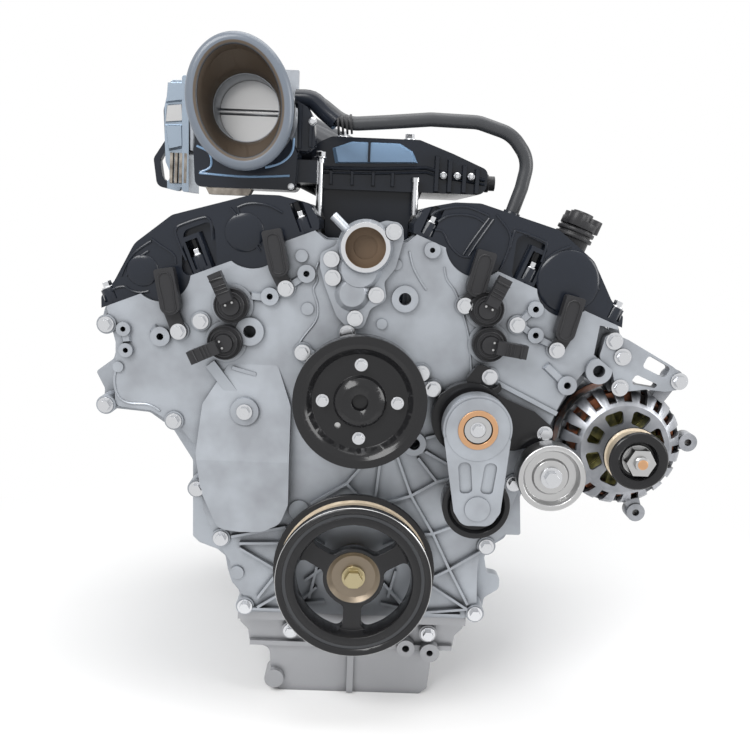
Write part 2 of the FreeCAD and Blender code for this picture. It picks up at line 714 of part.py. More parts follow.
def cam_cover():
    front = -S.cover_front
    rear = -S.head_rear + 3
    shell = Part.Face(cover_profile()).extrude(Vector(0, rear - front, 0))
    shell.translate(Vector(0, front, 0))
    moons = [rod(x, z, DIPS[kind] - S.seat_gap, front, front + S.cover_wall)
             for kind, (x, z) in CAMS.items()]
    shell = fused(shell, *moons)
    hollow = Part.Face(cover_profile(S.cover_wall)).extrude(Vector(0, rear - front - 2 * S.cover_wall, 0))
    hollow.translate(Vector(0, front + S.cover_wall, 0))
    ends = (S.rail_inner_x + 8, S.rail_outer_x - 8)
    feet = slab([(ends[0], rail_height(ends[0]) - 40), (ends[1], rail_height(ends[1]) - 40),
                 (ends[1], rail_height(ends[1]) + S.cover_wall + 2),
                 (ends[0], rail_height(ends[0]) + S.cover_wall + 2)], front + S.cover_wall, rear - S.cover_wall)
    hollow = hollow.fuse(feet)
    pocket = [(166, 346), (207, 330), (204, 384), (170, 398)]
    backing = slab([(161, 334), (212, 312), (209, 392), (165, 406)], front, front + POCKET + 3)
    channel = []
    for grow in (S.cover_wall, 0):
        corners = [plug_point(COIL_FLOOR - grow, -CHANNEL_HALF - grow), plug_point(COIL_FLOOR + 60, -CHANNEL_HALF - grow),
                   plug_point(COIL_FLOOR + 60, CHANNEL_HALF + grow), plug_point(COIL_FLOOR - grow, CHANNEL_HALF + grow)]
        channel.append(slab([(corner.x, corner.z) for corner in corners], CHANNEL_FRONT - grow, rear + 1))
    shell = shell.cut(hollow.cut([channel[0], backing])).cut([channel[1], slab(pocket, front - 1, front + POCKET, 9)])
    solid = Part.Face(cover_profile()).extrude(Vector(0, rear - front, 0))
    solid.translate(Vector(0, front, 0))
    towers = []
    reliefs = []
    columns = []
    for seat in cover_bolt_seats():
        foot = seat - RAIL_UP * COVER_SEAT
        at_front = seat.y == COLUMN_Y
        relief = COLUMN_RELIEF if at_front else RELIEF
        reach = COLUMN_REACH if at_front else COVER_SEAT + 30
        columns.append(Part.makeCylinder(relief - 2, COVER_SEAT, foot, RAIL_UP))
        towers.append(Part.makeCylinder(relief + 2.5, reach, foot, RAIL_UP).common(solid))
        if at_front:
            reliefs.append(Part.makeCylinder(relief, reach - 9, foot + RAIL_UP * 4, RAIL_UP))
        else:
            reliefs.append(Part.makeCylinder(relief, 40, seat, RAIL_UP))
    return fused(fused(shell, *towers).cut(reliefs), *columns)


def filler_foot():
    """Where the oil filler stands on the right cover, and the way it leans."""
    way = Vector(math.sin(math.radians(20)), 0, math.cos(math.radians(20)))
    return Vector(236, -420, 380), way


def cam_covers():
    base = cam_cover()
    foot, way = filler_foot()
    filler_hole = Part.makeCylinder(FILLER_RADIUS + S.seat_gap, 60, foot - way * 30, way)
    hose_end, hose_way = HOSE_ROUTE[-1], (HOSE_ROUTE[-1] - HOSE_ROUTE[-2]).normalize()
    hose_boss = Part.makeCylinder(S.hose_radius + 2, 12, hose_end + hose_way * S.seat_gap, hose_way)
    for bank, sign in (("right", 1), ("left", -1)):
        shape = fused(base, hose_boss).cut(filler_hole) if sign > 0 else mirrored(base)
        tools = cover_drills(sign)
        for y in cylinder_y(sign):
            tool = Part.makeCylinder(WELL_RADIUS, 60, plug_point(COIL_FLOOR - 30, 0, y), PLUG_WAY)
            tools.append(tool if sign > 0 else mirrored(tool))
        keep("cam_cover_" + bank, shape.cut(tools))
    solids, drills = bolts_with_drills(cover_bolt_seats(), RAIL_UP, COVER_BOLT_SHANK, 0.85)
    keep("cam_cover_bolts", Part.makeCompound(solids + [mirrored(solid) for solid in solids]))


def ignition_parts():
    coils = []
    plugs = []
    for sign in (1, -1):
        for y in cylinder_y(sign):
            stem = Part.makeCylinder(WELL_RADIUS - 1.5, COIL_FLOOR + 2 - PLUG_SEAT - 30,
                                     plug_point(PLUG_SEAT + 30, 0, y), PLUG_WAY)
            head = Part.makeBox(30, 44, 20, Vector(-15, -22, 0))
            head.Placement = FreeCAD.Placement(plug_point(COIL_FLOOR + 0.3, 0, y),
                                               FreeCAD.Rotation(Vector(0, 1, 0), math.degrees(
                                                   math.atan2(PLUG_WAY.x, PLUG_WAY.z))))
            socket = Part.makeCylinder(7, 45, plug_point(PLUG_SEAT + 29, 0, y), PLUG_WAY)
            coil = fused(stem, head).cut(socket)
            thread = Part.makeCylinder(7, 22, plug_point(PLUG_SEAT - 22, 0, y), PLUG_WAY)
            nut = Part.makeCylinder(10, 14, plug_point(PLUG_SEAT, 0, y), PLUG_WAY)
            glaze = Part.makeCylinder(5.5, 36, plug_point(PLUG_SEAT + 14, 0, y), PLUG_WAY)
            plug = fused(thread, nut, glaze)
            coils.append(coil if sign > 0 else mirrored(coil))
            plugs.append(plug if sign > 0 else mirrored(plug))
    keep("ignition_coils", Part.makeCompound(coils))
    keep("spark_plugs", Part.makeCompound(plugs))


# Timing cover

COVER_OUTLINE = [
    (57, 390, 0), (300, 292.8, 4), (309, 262, 8), (296, 247, 8), (266, 236, 10), (248, 216, 10),
    (236, 190, 12), (226, 162, 8), (237, 146, 12), (237, 112, 12), (206, 104, 8), (199, 80, 6), (203, 31, 3),
    (184, 31, 4), (171, 20, 8), (160, 2, 8), (164, -19, 6), (181, -22, 9), (181, -40, 9), (163, -52, 6),
    (161, -70, 8), (-142, -70, 8), (-140, -54, 6), (-150, -42, 8), (-155, -25, 8), (-158, -8, 6),
    (-168, 0, 8), (-190, 8, 8), (-198, 16, 4), (-198, 112, 8), (-222, 150, 8), (-249, 169, 10),
    (-288, 172, 8), (-304, 174, 9), (-302, 196, 8), (-312, 216, 4), (-291, 232, 8), (-286, 250, 10),
    (-290, 266, 8), (-304, 278, 8), (-300, 292.8, 4), (-57, 390, 0), (-45, 382, 6), (45, 382, 6)]
DOME_OUTLINE = [
    (57, 390, 0), (292, 296, 4), (284, 258, 12), (258, 244, 12), (238, 218, 12), (226, 190, 12),
    (214, 160, 8), (222, 130, 14), (196, 112, 10), (186, 84, 8), (176, 40, 10), (150, 22, 10),
    (148, -4, 10), (150, -50, 8), (138, -66, 8), (-128, -66, 8), (-130, -48, 8), (-144, -28, 10),
    (-148, -2, 10), (-160, 16, 10), (-180, 60, 8), (-184, 108, 12), (-186, 134, 10), (-206, 158, 8),
    (-240, 178, 10), (-282, 182, 8), (-280, 256, 8), (-290, 296.8, 4), (-57, 390, 0), (-45, 380, 6), (45, 380, 6)]
TIMING_BOLTS = [
    (-289.5, 276.5), (-183, 284), (-291.5, 183.5), (-213.5, 167.5), (-131, 183.5), (-187, 87), (-158.5, 27),
    (-129, -58), (175, 293.5), (184, 106.5), (156.5, 28), (148, -58), (147.5, 232.5)]
SENSOR_BOLTS = [(-87.5, 325), (-207, 272), (114, 313.5), (221, 267)]
PUMP_BOLTS = [(-67, 253.5), (69, 234.5), (83, 217), (-17, 277.5)]
OUTLET_BOLTS = [(30.5, 392), (-37.5, 359.5), (-35.5, 339), (14, 321.5), (-9, 294.5)]
# open bosses: across, height, boss radius, hole radius
OPEN_BOSSES = [
    (-270, 272, 8, 3), (-267.5, 248, 8, 3), (-228.5, 265, 11, 4), (-105.5, 315, 10, 3.5), (-65, 342, 10, 3.5),
    (-127.5, 274.5, 16, 7.2), (46.5, 318, 15, 7), (74.5, 373.5, 9, 3), (194.5, 312, 9, 3.5),
    (196.5, 282.5, 9, 3.5), (64.5, 150.5, 14, 7), (237, 226, 11, 4), (272, 244, 15, 7)]
BLIND_BOSSES = [(-71, 361.5, 7), (-63, 302.5, 7), (-277, 228, 6), (-67, 64.5, 12), (35.5, 356, 6),
                (21.5, 288.5, 6), (-139, -16, 8)]
SOLENOIDS = [(-147.5, 304, 115), (-154.5, 262, 205), (138, 310.5, 65), (144, 271, -8)]
BULGE_OUTLINE = [(-180, 190, 10), (-186, 134, 12), (-180, 90, 14), (-160, 44, 16), (-134, 41, 16), (-108, 42, 18),
                 (-88, 52, 16), (-79, 75, 12), (-79, 190, 12), (-96, 238, 10), (-150, 238, 12)]
RIBS = [
    ((-53, 73), (-12, 100)), ((-12, 100), (5, 82)), ((-12, 100), (10, 128)), ((26, 128), (22, 80)),
    ((46, 134), (64, 88)), ((70, 134), (93, 106)), ((78, 142), (104, 128)), ((78, 158), (104, 166)),
    ((64, 88), (93, 106)), ((93, 106), (116, 112)), ((64, 88), (30, 76)), ((64, 88), (92, 42)),
    ((92, 42), (116, 52)), ((92, 42), (70, 40)), ((92, 42), (114, -2)), ((114, -2), (150, 22)),
    ((114, -2), (96, -12)), ((114, -2), (138, -46)), ((94, -24), (138, -52)), ((138, -52), (84, -58)),
    ((-136, 16), (-88, -12)), ((-136, 22), (-84, 24)), ((-146, 30), (-82, 44)), ((-94, -18), (-114, -46)),
    ((-114, -58), (-84, -38)), ((-122, -60), (-60, -60)), ((60, -60), (130, -60)), ((-44, -30), (-66, -52)),
    ((-66, -52), (-34, -48)), ((-30, 0), (-58, -22)), ((-44, -4), (-52, -44)), ((34, -48), (64, -54)),
    ((36, -22), (60, -50)), ((50, -6), (42, -40)), ((-56, 34), (-36, 22)), ((34, 24), (56, 34))]


def chamber_outline():
    """The inside of the timing cover, symmetric about the crank, clear of the chains."""
    side = [(278, 290, 20), (262, 262, 20), (232, 225, 20), (200, 186, 14), (180, 130, 20), (140, 60, 20),
            (64, -46, 20)]
    top = [(45, 372, 10), (85, 366, 10)]
    return top + side + flip(side) + flip(top)


def rib(start, end, half, front, rear):
    """A straight bar on the cover's wall between two points."""
    run = Vector(end[0] - start[0], 0, end[1] - start[1])
    across = Vector(run.z, 0, -run.x).normalize() * half
    corners = [Vector(start[0], 0, start[1]) + across, Vector(end[0], 0, end[1]) + across,
               Vector(end[0], 0, end[1]) - across, Vector(start[0], 0, start[1]) - across]
    return slab([(corner.x, corner.z) for corner in corners], front, rear)


def timing_cover():
    wall = FACE - S.cover_depth
    boss_front = wall - 3
    adds = [slab(DOME_OUTLINE, wall, FACE)]
    for x, z in TIMING_BOLTS + SENSOR_BOLTS + PUMP_BOLTS:
        adds.append(rod(x, z, S.boss_radius, boss_front, FACE))
    for x, z, radius, hole in OPEN_BOSSES:
        adds.append(rod(x, z, radius, boss_front - 3, FACE))
    for x, z in BRACKET_SEATS:
        adds.append(rod(x, z, S.boss_radius, wall + BRACKET_PLATE, FACE))
    for x, z, radius in BLIND_BOSSES:
        adds.append(rod(x, z, radius, boss_front, FACE))
    for x, z, angle in SOLENOIDS:
        adds.append(rod(x, z, SOLENOID_RADIUS + 4, boss_front, FACE))
    adds.append(rod(BULGE_BOLT[0], BULGE_BOLT[1], 16, boss_front - BULGE_BOSS, FACE))
    adds.append(rod(S.tensioner_x, S.tensioner_height, 24, TENSIONER_SEAT, FACE))
    for x, z in TENSIONER_BOLTS:
        adds.append(rod(x, z, S.boss_radius, TENSIONER_SEAT, FACE))
    adds.append(rod(S.idler_x, S.idler_height, 16, -S.belt_plane + S.belt_width / 2 + 1.5, FACE))
    bulge = slab(BULGE_OUTLINE, wall - S.bulge, wall)
    slope = Part.Face(Part.makePolygon([Vector(0, wall - S.bulge - 1, 120), Vector(0, wall - S.bulge - 1, 260),
                                        Vector(0, wall, 260), Vector(0, wall, 236),
                                        Vector(0, wall - S.bulge - 1, 120)]))
    adds.append(bulge.cut(slope.extrude(Vector(-300, 0, 0))))
    for start, end in RIBS:
        adds.append(rib(start, end, S.rib / 2, wall - S.rib_height, wall))
    adds.append(rib((-131, 183.5), (-172, 236), 6, wall - 5, wall))
    adds.append(rib((-147, 232), (-120, 225), 2, wall - 3, wall))
    adds.append(rib((128, 240), (228, 192), 2.5, wall - 4, wall))
    cover = fused(slab(COVER_OUTLINE, FACE - S.flange, FACE), *adds)
    cuts = [slab(chamber_outline(), wall + S.front_wall, FACE)]
    for sign in (1, -1):
        for kind, (x, z) in CAMS.items():
            cuts.append(rod(sign * x, z, DIPS[kind], wall - 10, FACE))
            cuts.append(rod(sign * x, z, DIPS[kind] + S.rail_band, wall + S.front_wall + 8, FACE))
    band = [(S.rail_inner_x, rail_height(S.rail_inner_x)), (330, rail_height(330)), (330, 450), (S.rail_inner_x, 450)]
    cuts += [slab(band, wall - 10, FACE), slab(flip(band), wall - 10, FACE)]
    cuts.append(rod(0, 0, S.seal_radius + S.running_fit, wall - 10, FACE))
    cuts.append(rod(0, S.pump_height, PUMP_CHAMBER, wall - 1, wall + 10))
    for x, z, radius, hole in OPEN_BOSSES:
        cuts.append(rod(x, z, hole, boss_front - 4, wall + 14))
    for x, z, angle in SOLENOIDS:
        cuts.append(rod(x, z, SOLENOID_PLUG + S.running_fit, boss_front - 4, boss_front + 14))
        cuts.append(rod(x, z, SOLENOID_RADIUS + S.seat_gap, boss_front - 30, boss_front))
    foot = Part.Face(outline(OUTLET_FOOT)).makeOffset2D(S.seat_gap).extrude(Vector(0, 30, 0))
    foot.translate(Vector(0, wall - 30, 0))
    cuts.append(foot)
    plate = Part.Face(outline(BRACKET)).makeOffset2D(S.seat_gap).extrude(Vector(0, 30, 0))
    plate.translate(Vector(0, wall + BRACKET_PLATE - 30, 0))
    cuts.append(plate)
    cuts.append(rod(S.idler_x, S.idler_height, IDLER_BOLT, -600, FACE - 10))
    well_rear = -S.primary_plane - S.chain_width / 2 - 2
    well = rod(0, S.pump_height, PUMP_CHAMBER + 6, wall + 1, well_rear).cut(
        rod(0, S.pump_height, PUMP_CHAMBER, wall, well_rear - 4))
    cuts += timing_bolts(True) + alternator_bolts()[1]
    cuts.append(slab([(270, 296), (282, 294), (300, 290), (320, 290), (320, 230), (282, 250), (266, 262)],
                     wall - 10, wall + BRACKET_PLATE))
    cover = fused(cover.cut(cuts), well)
    for sign in (1, -1):
        cover = cover.cut(cover_drills(sign))
    keep("timing_cover", cover)


PUMP_CHAMBER = 34
BRACKET_PLATE = 15
BRACKET_SEATS = [(288, 279), (299, 261)]
SOLENOID_RADIUS = 19.5
SOLENOID_PLUG = 15
IDLER_BOLT = 8
BOLT_DEPTH = 8
BULGE_BOLT = (-131, 183.5)
BULGE_BOSS = 11


def timing_bolts(as_drills=False):
    """The cover's own bolts and those of the sensors, pump, outlet and belt tensioner."""
    seat = FACE - S.cover_depth - 3
    groups = [(TIMING_BOLTS, seat), (SENSOR_BOLTS, seat - SENSOR_TAB), (PUMP_BOLTS, seat - PUMP_EAR),
              (OUTLET_BOLTS, seat + 3 - OUTLET_FLANGE),
              (TENSIONER_BOLTS, TENSIONER_SEAT - TENSIONER_PLATE)]
    solids = []
    drills = []
    for points, y in groups:
        seats = []
        for x, z in points:
            front = y - BULGE_BOSS if (x, z) == BULGE_BOLT else y
            seats.append((x, front, z))
        reach = BOLT_DEPTH + (seat - y)
        bolts, holes = bolts_with_drills(seats, FORWARD, reach)
        solids += bolts
        drills += holes
        drills += [rod(x, z, S.bolt_flange + S.seat_gap, y - 30, y) for x, y, z in seats]
    return drills if as_drills else solids


SENSOR_TAB = 5
PUMP_EAR = 5
OUTLET_FLANGE = 8
TENSIONER_PLATE = 10
TENSIONER_SEAT = FACE - S.cover_depth - 7
TENSIONER_BOLTS = [(212.5, 171.5)]


# Parts on the timing cover

def phaser_solenoids():
    seat = FACE - S.cover_depth - 3
    solids = []
    for x, z, angle in SOLENOIDS:
        body = fused(rod(x, z, SOLENOID_PLUG, seat, seat + 12), rod(x, z, SOLENOID_RADIUS, seat - 10, seat),
                     rod(x, z, SOLENOID_RADIUS - 5, seat - 15, seat - 10), rod(x, z, 10, seat - 19, seat - 15))
        way = Vector(math.cos(math.radians(angle)), 0, math.sin(math.radians(angle)))
        plug = Part.makeBox(34, 13, 15, Vector(6, -6.5, -7.5))
        plug.Placement = FreeCAD.Placement(Vector(x, seat - 16.5 - 6, z), FreeCAD.Rotation(
            Vector(0, 1, 0), -angle))
        room = [rod(bolt_x, bolt_z, S.bolt_flange + S.seat_gap, seat - 40, seat) for bolt_x, bolt_z in SENSOR_BOLTS]
        solids.append(fused(body, plug).cut(room))
    keep("phaser_solenoids", Part.makeCompound(solids))


SENSORS = [(-98.5, 364, -13), (-217.5, 317, -10), (128.5, 350, 14), (231, 303.5, 13)]


def cam_sensors():
    """Tongue-shaped pickups, each held by the bolt at its foot."""
    seat = FACE - S.cover_depth - 3
    solids = []
    for (x, z, lean), (bolt_x, bolt_z) in zip(SENSORS, SENSOR_BOLTS):
        tongue = slab([(-11, -26, 10.5), (11, -26, 10.5), (11, 26, 3), (-11, 26, 3)], -14, 0)
        tongue.Placement = FreeCAD.Placement(Vector(x, seat - 1, z), FreeCAD.Rotation(Vector(0, 1, 0), lean))
        tab = fused(rib((bolt_x, bolt_z), (x, z - 18), 8, seat - SENSOR_TAB, seat),
                    rod(bolt_x, bolt_z, S.bolt_flange, seat - SENSOR_TAB, seat))
        hole = rod(bolt_x, bolt_z, S.bolt_shank + S.running_fit, seat - 20, seat + 1)
        room = [rod(x, z, SOLENOID_RADIUS + S.seat_gap, seat - 40, seat) for x, z, angle in SOLENOIDS]
        solids.append(fused(tongue, tab).cut([hole] + room))
    keep("cam_position_sensors", Part.makeCompound(solids))


def water_pump():
    wall = FACE - S.cover_depth
    seat = wall - 3
    rear = -S.belt_plane + S.belt_width / 2
    z = S.pump_height
    flange = [rod(0, z, 60, seat - PUMP_EAR, seat)]
    for x, height in PUMP_BOLTS:
        flange.append(rib((x * 0.6, z + (height - z) * 0.6), (x, height), S.bolt_flange, seat - PUMP_EAR, seat))
        flange.append(rod(x, height, S.bolt_flange, seat - PUMP_EAR, seat))
    nose = cone(0, z, 26, 44, rear + 6, seat - PUMP_EAR)
    housing = fused(*flange, nose, rod(0, z, PUMP_CHAMBER - S.seat_gap, seat, wall + 6))
    drills = [rod(x, height, S.bolt_shank + S.running_fit, seat - 20, seat + 1) for x, height in PUMP_BOLTS]
    housing = housing.cut(drills + [rod(0, z, 12 + S.running_fit, rear - 10, FACE)])
    keep("water_pump_housing", housing)
    shaft = [rod(0, z, 12, rear - 2, wall + 18), rod(0, z, PUMP_HUB, rear - PUMP_FACE_SET, rear - PUMP_FACE_SET + 8),
             rod(0, z, 26, wall + 12, wall + 15)]
    shaft.append(rod(0, z, 12, rear - PUMP_FACE_SET, rear))
    for k in range(6):
        blade = Part.makeBox(18, 6, 2.5, Vector(9, wall + 7, -1.2))
        blade.rotate(Vector(0, 0, 0), Vector(0, 1, 0), 60 * k)
        blade.translate(Vector(0, 0, z))
        shaft.append(blade)
    drills = []
    seats = []
    for k in range(4):
        spin = math.radians(90 * k)
        x = S.pump_bolt_circle / 2 * math.sin(spin)
        height = z + S.pump_bolt_circle / 2 * math.cos(spin)
        seats.append((x, -S.belt_plane + S.belt_width / 2 - PUMP_FACE_SET - S.pulley_wall, height))
    bolts, drills = bolts_with_drills(seats, FORWARD, S.pulley_wall + 8, 0.8)
    keep("water_pump_rotor", fused(*shaft).cut(drills))
    keep("water_pump_pulley_bolts", Part.makeCompound(bolts))
    pump_pulley(drills)


PUMP_HUB = 50
PUMP_FACE_SET = 11


def pump_pulley(drills):
    front = -S.belt_plane - S.belt_width / 2
    rear = -S.belt_plane + S.belt_width / 2
    face = rear - PUMP_FACE_SET
    wall = S.pulley_wall
    outer = S.pump_pulley_radius
    hub = S.pump_bolt_circle / 2 - 14
    turned("water_pump_pulley", [
        (Size(9), front + 4), (Size(20), front), (hub, front + 5), (hub + 2, face - wall), (PUMP_HUB + 3, face - wall),
        (outer - 14, front + 3), (outer - 9, front), (outer, front), (outer, rear), (outer - wall, rear),
        (outer - wall, front + wall + 2), (outer - 9, front + wall + 2), (PUMP_HUB + 5.0, face), (hub - 2, face),
        (hub - 5, front + 9), (Size(9), front + 8)], 0, S.pump_height)
    puller_hole = rod(-24, S.pump_height - 28, 3.5, front, rear)
    drilled("water_pump_pulley", drills + [puller_hole])


# Crank damper

HUB_REAR = FACE - S.cover_depth + 4
NOSE_FRONT = -S.hub_face + 14


def crank_damper():
    front = -S.damper_front
    rear = front + S.damper_length
    window = S.damper_window_radius
    isolator_in = S.damper_radius - S.rim_wall
    isolator_out = isolator_in + S.isolator
    band = S.damper_band_radius
    turned("damper_rim", [
        (isolator_out, front + 3), (S.damper_radius - 2, front), (S.damper_radius, front + 2),
        (S.damper_radius, front + 12), (band, front + 13), (band, rear - 6), (S.damper_flange_radius - 1, rear - 5),
        (S.damper_flange_radius, rear - 4), (S.damper_flange_radius, rear), (isolator_out, rear)])
    turned("damper_isolator", [(isolator_in, front + 4), (isolator_out, front + 4), (isolator_out, rear - 1),
                               (isolator_in, rear - 1)])
    spoke_front = -S.hub_face - 2
    spoke_rear = spoke_front + S.spoke_thickness
    turned("damper_hub", [
        (Size(8.2), -S.hub_face + 3), (S.hub_radius - 4, -S.hub_face + 3), (S.hub_radius, -S.hub_face),
        (S.hub_radius + 3, spoke_front), (window - 4, spoke_front), (window, front + 4), (isolator_in, front + 3),
        (isolator_in, rear), (window + 3, rear), (window, spoke_rear), (S.hub_radius, spoke_rear),
        (S.seal_radius, spoke_rear + 6), (S.seal_radius, HUB_REAR), (S.nose_radius + S.running_fit, HUB_REAR),
        (S.nose_radius + S.running_fit, NOSE_FRONT), (Size(8.2), NOSE_FRONT)])
    drilled("damper_hub", damper_windows(spoke_front - 20, spoke_rear + 20))
    head = -S.hub_face + 3
    bolt = fused(rod(0, 0, 8, head, NOSE_FRONT), rod(0, 0, 13.5, head - 4, head),
                 hexagon(Vector(0, head - 4, 0), 10.5, 9, FORWARD))
    keep("crank_bolt", bolt)


def damper_windows(front, rear):
    """The three rounded openings between the damper's spokes."""
    ring = rod(0, 0, S.damper_window_radius - 1.5, front, rear).cut(rod(0, 0, S.hub_radius + 6, front, rear))
    spokes = []
    for angle in (270, 30, 150):
        spoke = block(0, 100, front, rear, -S.spoke_width / 2, S.spoke_width / 2)
        spoke.rotate(Vector(0, 0, 0), Vector(0, 1, 0), -angle)
        spokes.append(spoke)
    windows = []
    for piece in ring.cut(spokes).Solids:
        edges = [edge for edge in piece.Edges if len(edge.Vertexes) == 2
                 and abs(edge.Vertexes[0].Y - edge.Vertexes[1].Y) > 1]
        windows.append(piece.makeFillet(8, edges))
    return windows


# Belt tensioner and idler

def belt_tensioner():
    seat = TENSIONER_SEAT
    x = S.tensioner_x
    z = S.tensioner_height
    front = -S.damper_front
    plate = seat - TENSIONER_PLATE
    case_front = -S.belt_plane + 5
    arm_rear = case_front - 0.5
    base = [rod(x - 6, z + 3, 42, case_front + 12, seat), rod(x, z, 36, case_front, case_front + 12),
            slab([(x + 20, z + 34, 8), (200, 196, 8), (222, 178, 9), (222, 162, 9), (180, 150, 10), (x + 20, z - 34, 8)],
                 plate, seat),
            slab([(x - 14, z + 44, 6), (x + 2, z + 66, 6), (x + 22, z + 60, 6), (x + 34, z + 30, 6)], plate, seat),
            rod(x, z, PIVOT, front + 3, seat)]
    drills = timing_bolts(True)[-2 * len(TENSIONER_BOLTS):]
    stud = rod(x, z, 5 + S.running_fit, front + 2, -S.belt_plane)
    for bolt_x, bolt_z in [(147.5, 232.5)]:
        drills.append(rod(bolt_x, bolt_z, 12, plate - 1, seat))
    keep("tensioner_base", fused(*base).cut(drills + [stud]))
    pulley_x = S.tensioner_pulley_x
    pulley_z = S.tensioner_pulley_height
    pulley_front = -S.belt_plane - S.belt_width / 2
    arm = [rod(x, z, 38, front + 2, arm_rear), rod(x, z, 35, front, front + 2)]
    taper = [(x - 37, z - 8, 4), (pulley_x - 26, pulley_z - 4, 8), (pulley_x - 16, pulley_z - 20, 14),
             (pulley_x + 16, pulley_z - 20, 14), (pulley_x + 26, pulley_z - 4, 8), (x + 37, z - 8, 4)]
    blade = slab(taper, front + 1, pulley_front - 1)
    arm.append(blade)
    arm.append(rod(pulley_x, pulley_z, 14, front - 1, front + 1))
    arm.append(rod(pulley_x, pulley_z, 14, pulley_front - 1, pulley_front))
    arm.append(rod(pulley_x, pulley_z, 8, pulley_front, -S.belt_plane + S.belt_width / 2))
    arm = fused(*arm)
    pockets = []
    for side in (-1, 1):
        pocket = slab([(side * 4, 0, 5), (side * 18, -1, 4), (side * 22, 34, 6), (side * 8, 36, 10)] if side > 0 else
                      [(side * 8, 36, 10), (side * 22, 34, 6), (side * 18, -1, 4), (side * 4, 0, 5)], front, front + 4)
        pocket.translate(Vector((x + pulley_x) / 2, 0, pulley_z + 18))
        pockets.append(pocket)
    pockets.append(rod(x, z, BUSH, front - 1, arm_rear + 1))
    keep("tensioner_arm", arm.cut(pockets))
    bush_in = PIVOT + S.running_fit
    turned("tensioner_bush", [(bush_in, front - 1), (BUSH - S.running_fit, front - 1),
                              (BUSH - S.running_fit, arm_rear), (bush_in, arm_rear)], x, z)
    roller("tensioner_pulley", pulley_x, pulley_z, S.tensioner_radius, False)


PIVOT = 16
BUSH = 22


def tensioner_cap():
    """The bolt in the tensioner's pivot."""
    x = S.tensioner_x
    z = S.tensioner_height
    head = -S.damper_front + 3
    return fused(flange_bolt(Vector(x, head, z), FORWARD, 15, 0.95), rod(x, z, 5, head, head + 15))


def roller(label, x, z, radius, dished):
    """A smooth belt roller on its bearing: a rim, a web and a hub with a running bore."""
    front = -S.belt_plane - S.belt_width / 2
    rear = -S.belt_plane + S.belt_width / 2
    bore = IDLER_BOLT + S.running_fit
    if dished:
        web = front + 7
    else:
        web = front + 3
    profile = [(bore, web - 1), (Size(19), web - 1), (Size(21), web + 3), (radius - 9, web + 3), (radius - 6, front + 1),
               (radius - 1, front), (radius, front + 1), (radius, rear - 1), (radius - 1, rear), (radius - 4, rear),
               (radius - 5, web + 8), (Size(21), web + 8), (Size(19), rear - 0.5), (bore, rear - 0.5)]
    turned(label, profile, x, z)


def idler():
    roller("idler_pulley", S.idler_x, S.idler_height, S.idler_radius, True)
    web = -S.belt_plane - S.belt_width / 2 + 6
    head = web - S.seat_gap
    bolt = fused(rod(S.idler_x, S.idler_height, IDLER_BOLT, head, FACE - 10),
                 rod(S.idler_x, S.idler_height, 12, head - 3, head),
                 hexagon(Vector(S.idler_x, head - 3, S.idler_height), 8, 6, FORWARD))
    keep("pivot_bolts", Part.makeCompound([tensioner_cap(), bolt]))


# Alternator

ALT_SHELL_FRONT = -460
ALT_SPLIT_FRONT = -426
ALT_SPLIT_REAR = -398
ALT_REAR = -345
ALT_SHAFT = 8


def around(x, z, tool, count, start=0.0):
    """Copies of a tool spun about a fore-and-aft axis."""
    copies = []
    for k in range(count):
        copy = tool.copy()
        copy.rotate(Vector(x, 0, z), Vector(0, 1, 0), start + 360.0 * k / count)
        copies.append(copy)
    return copies


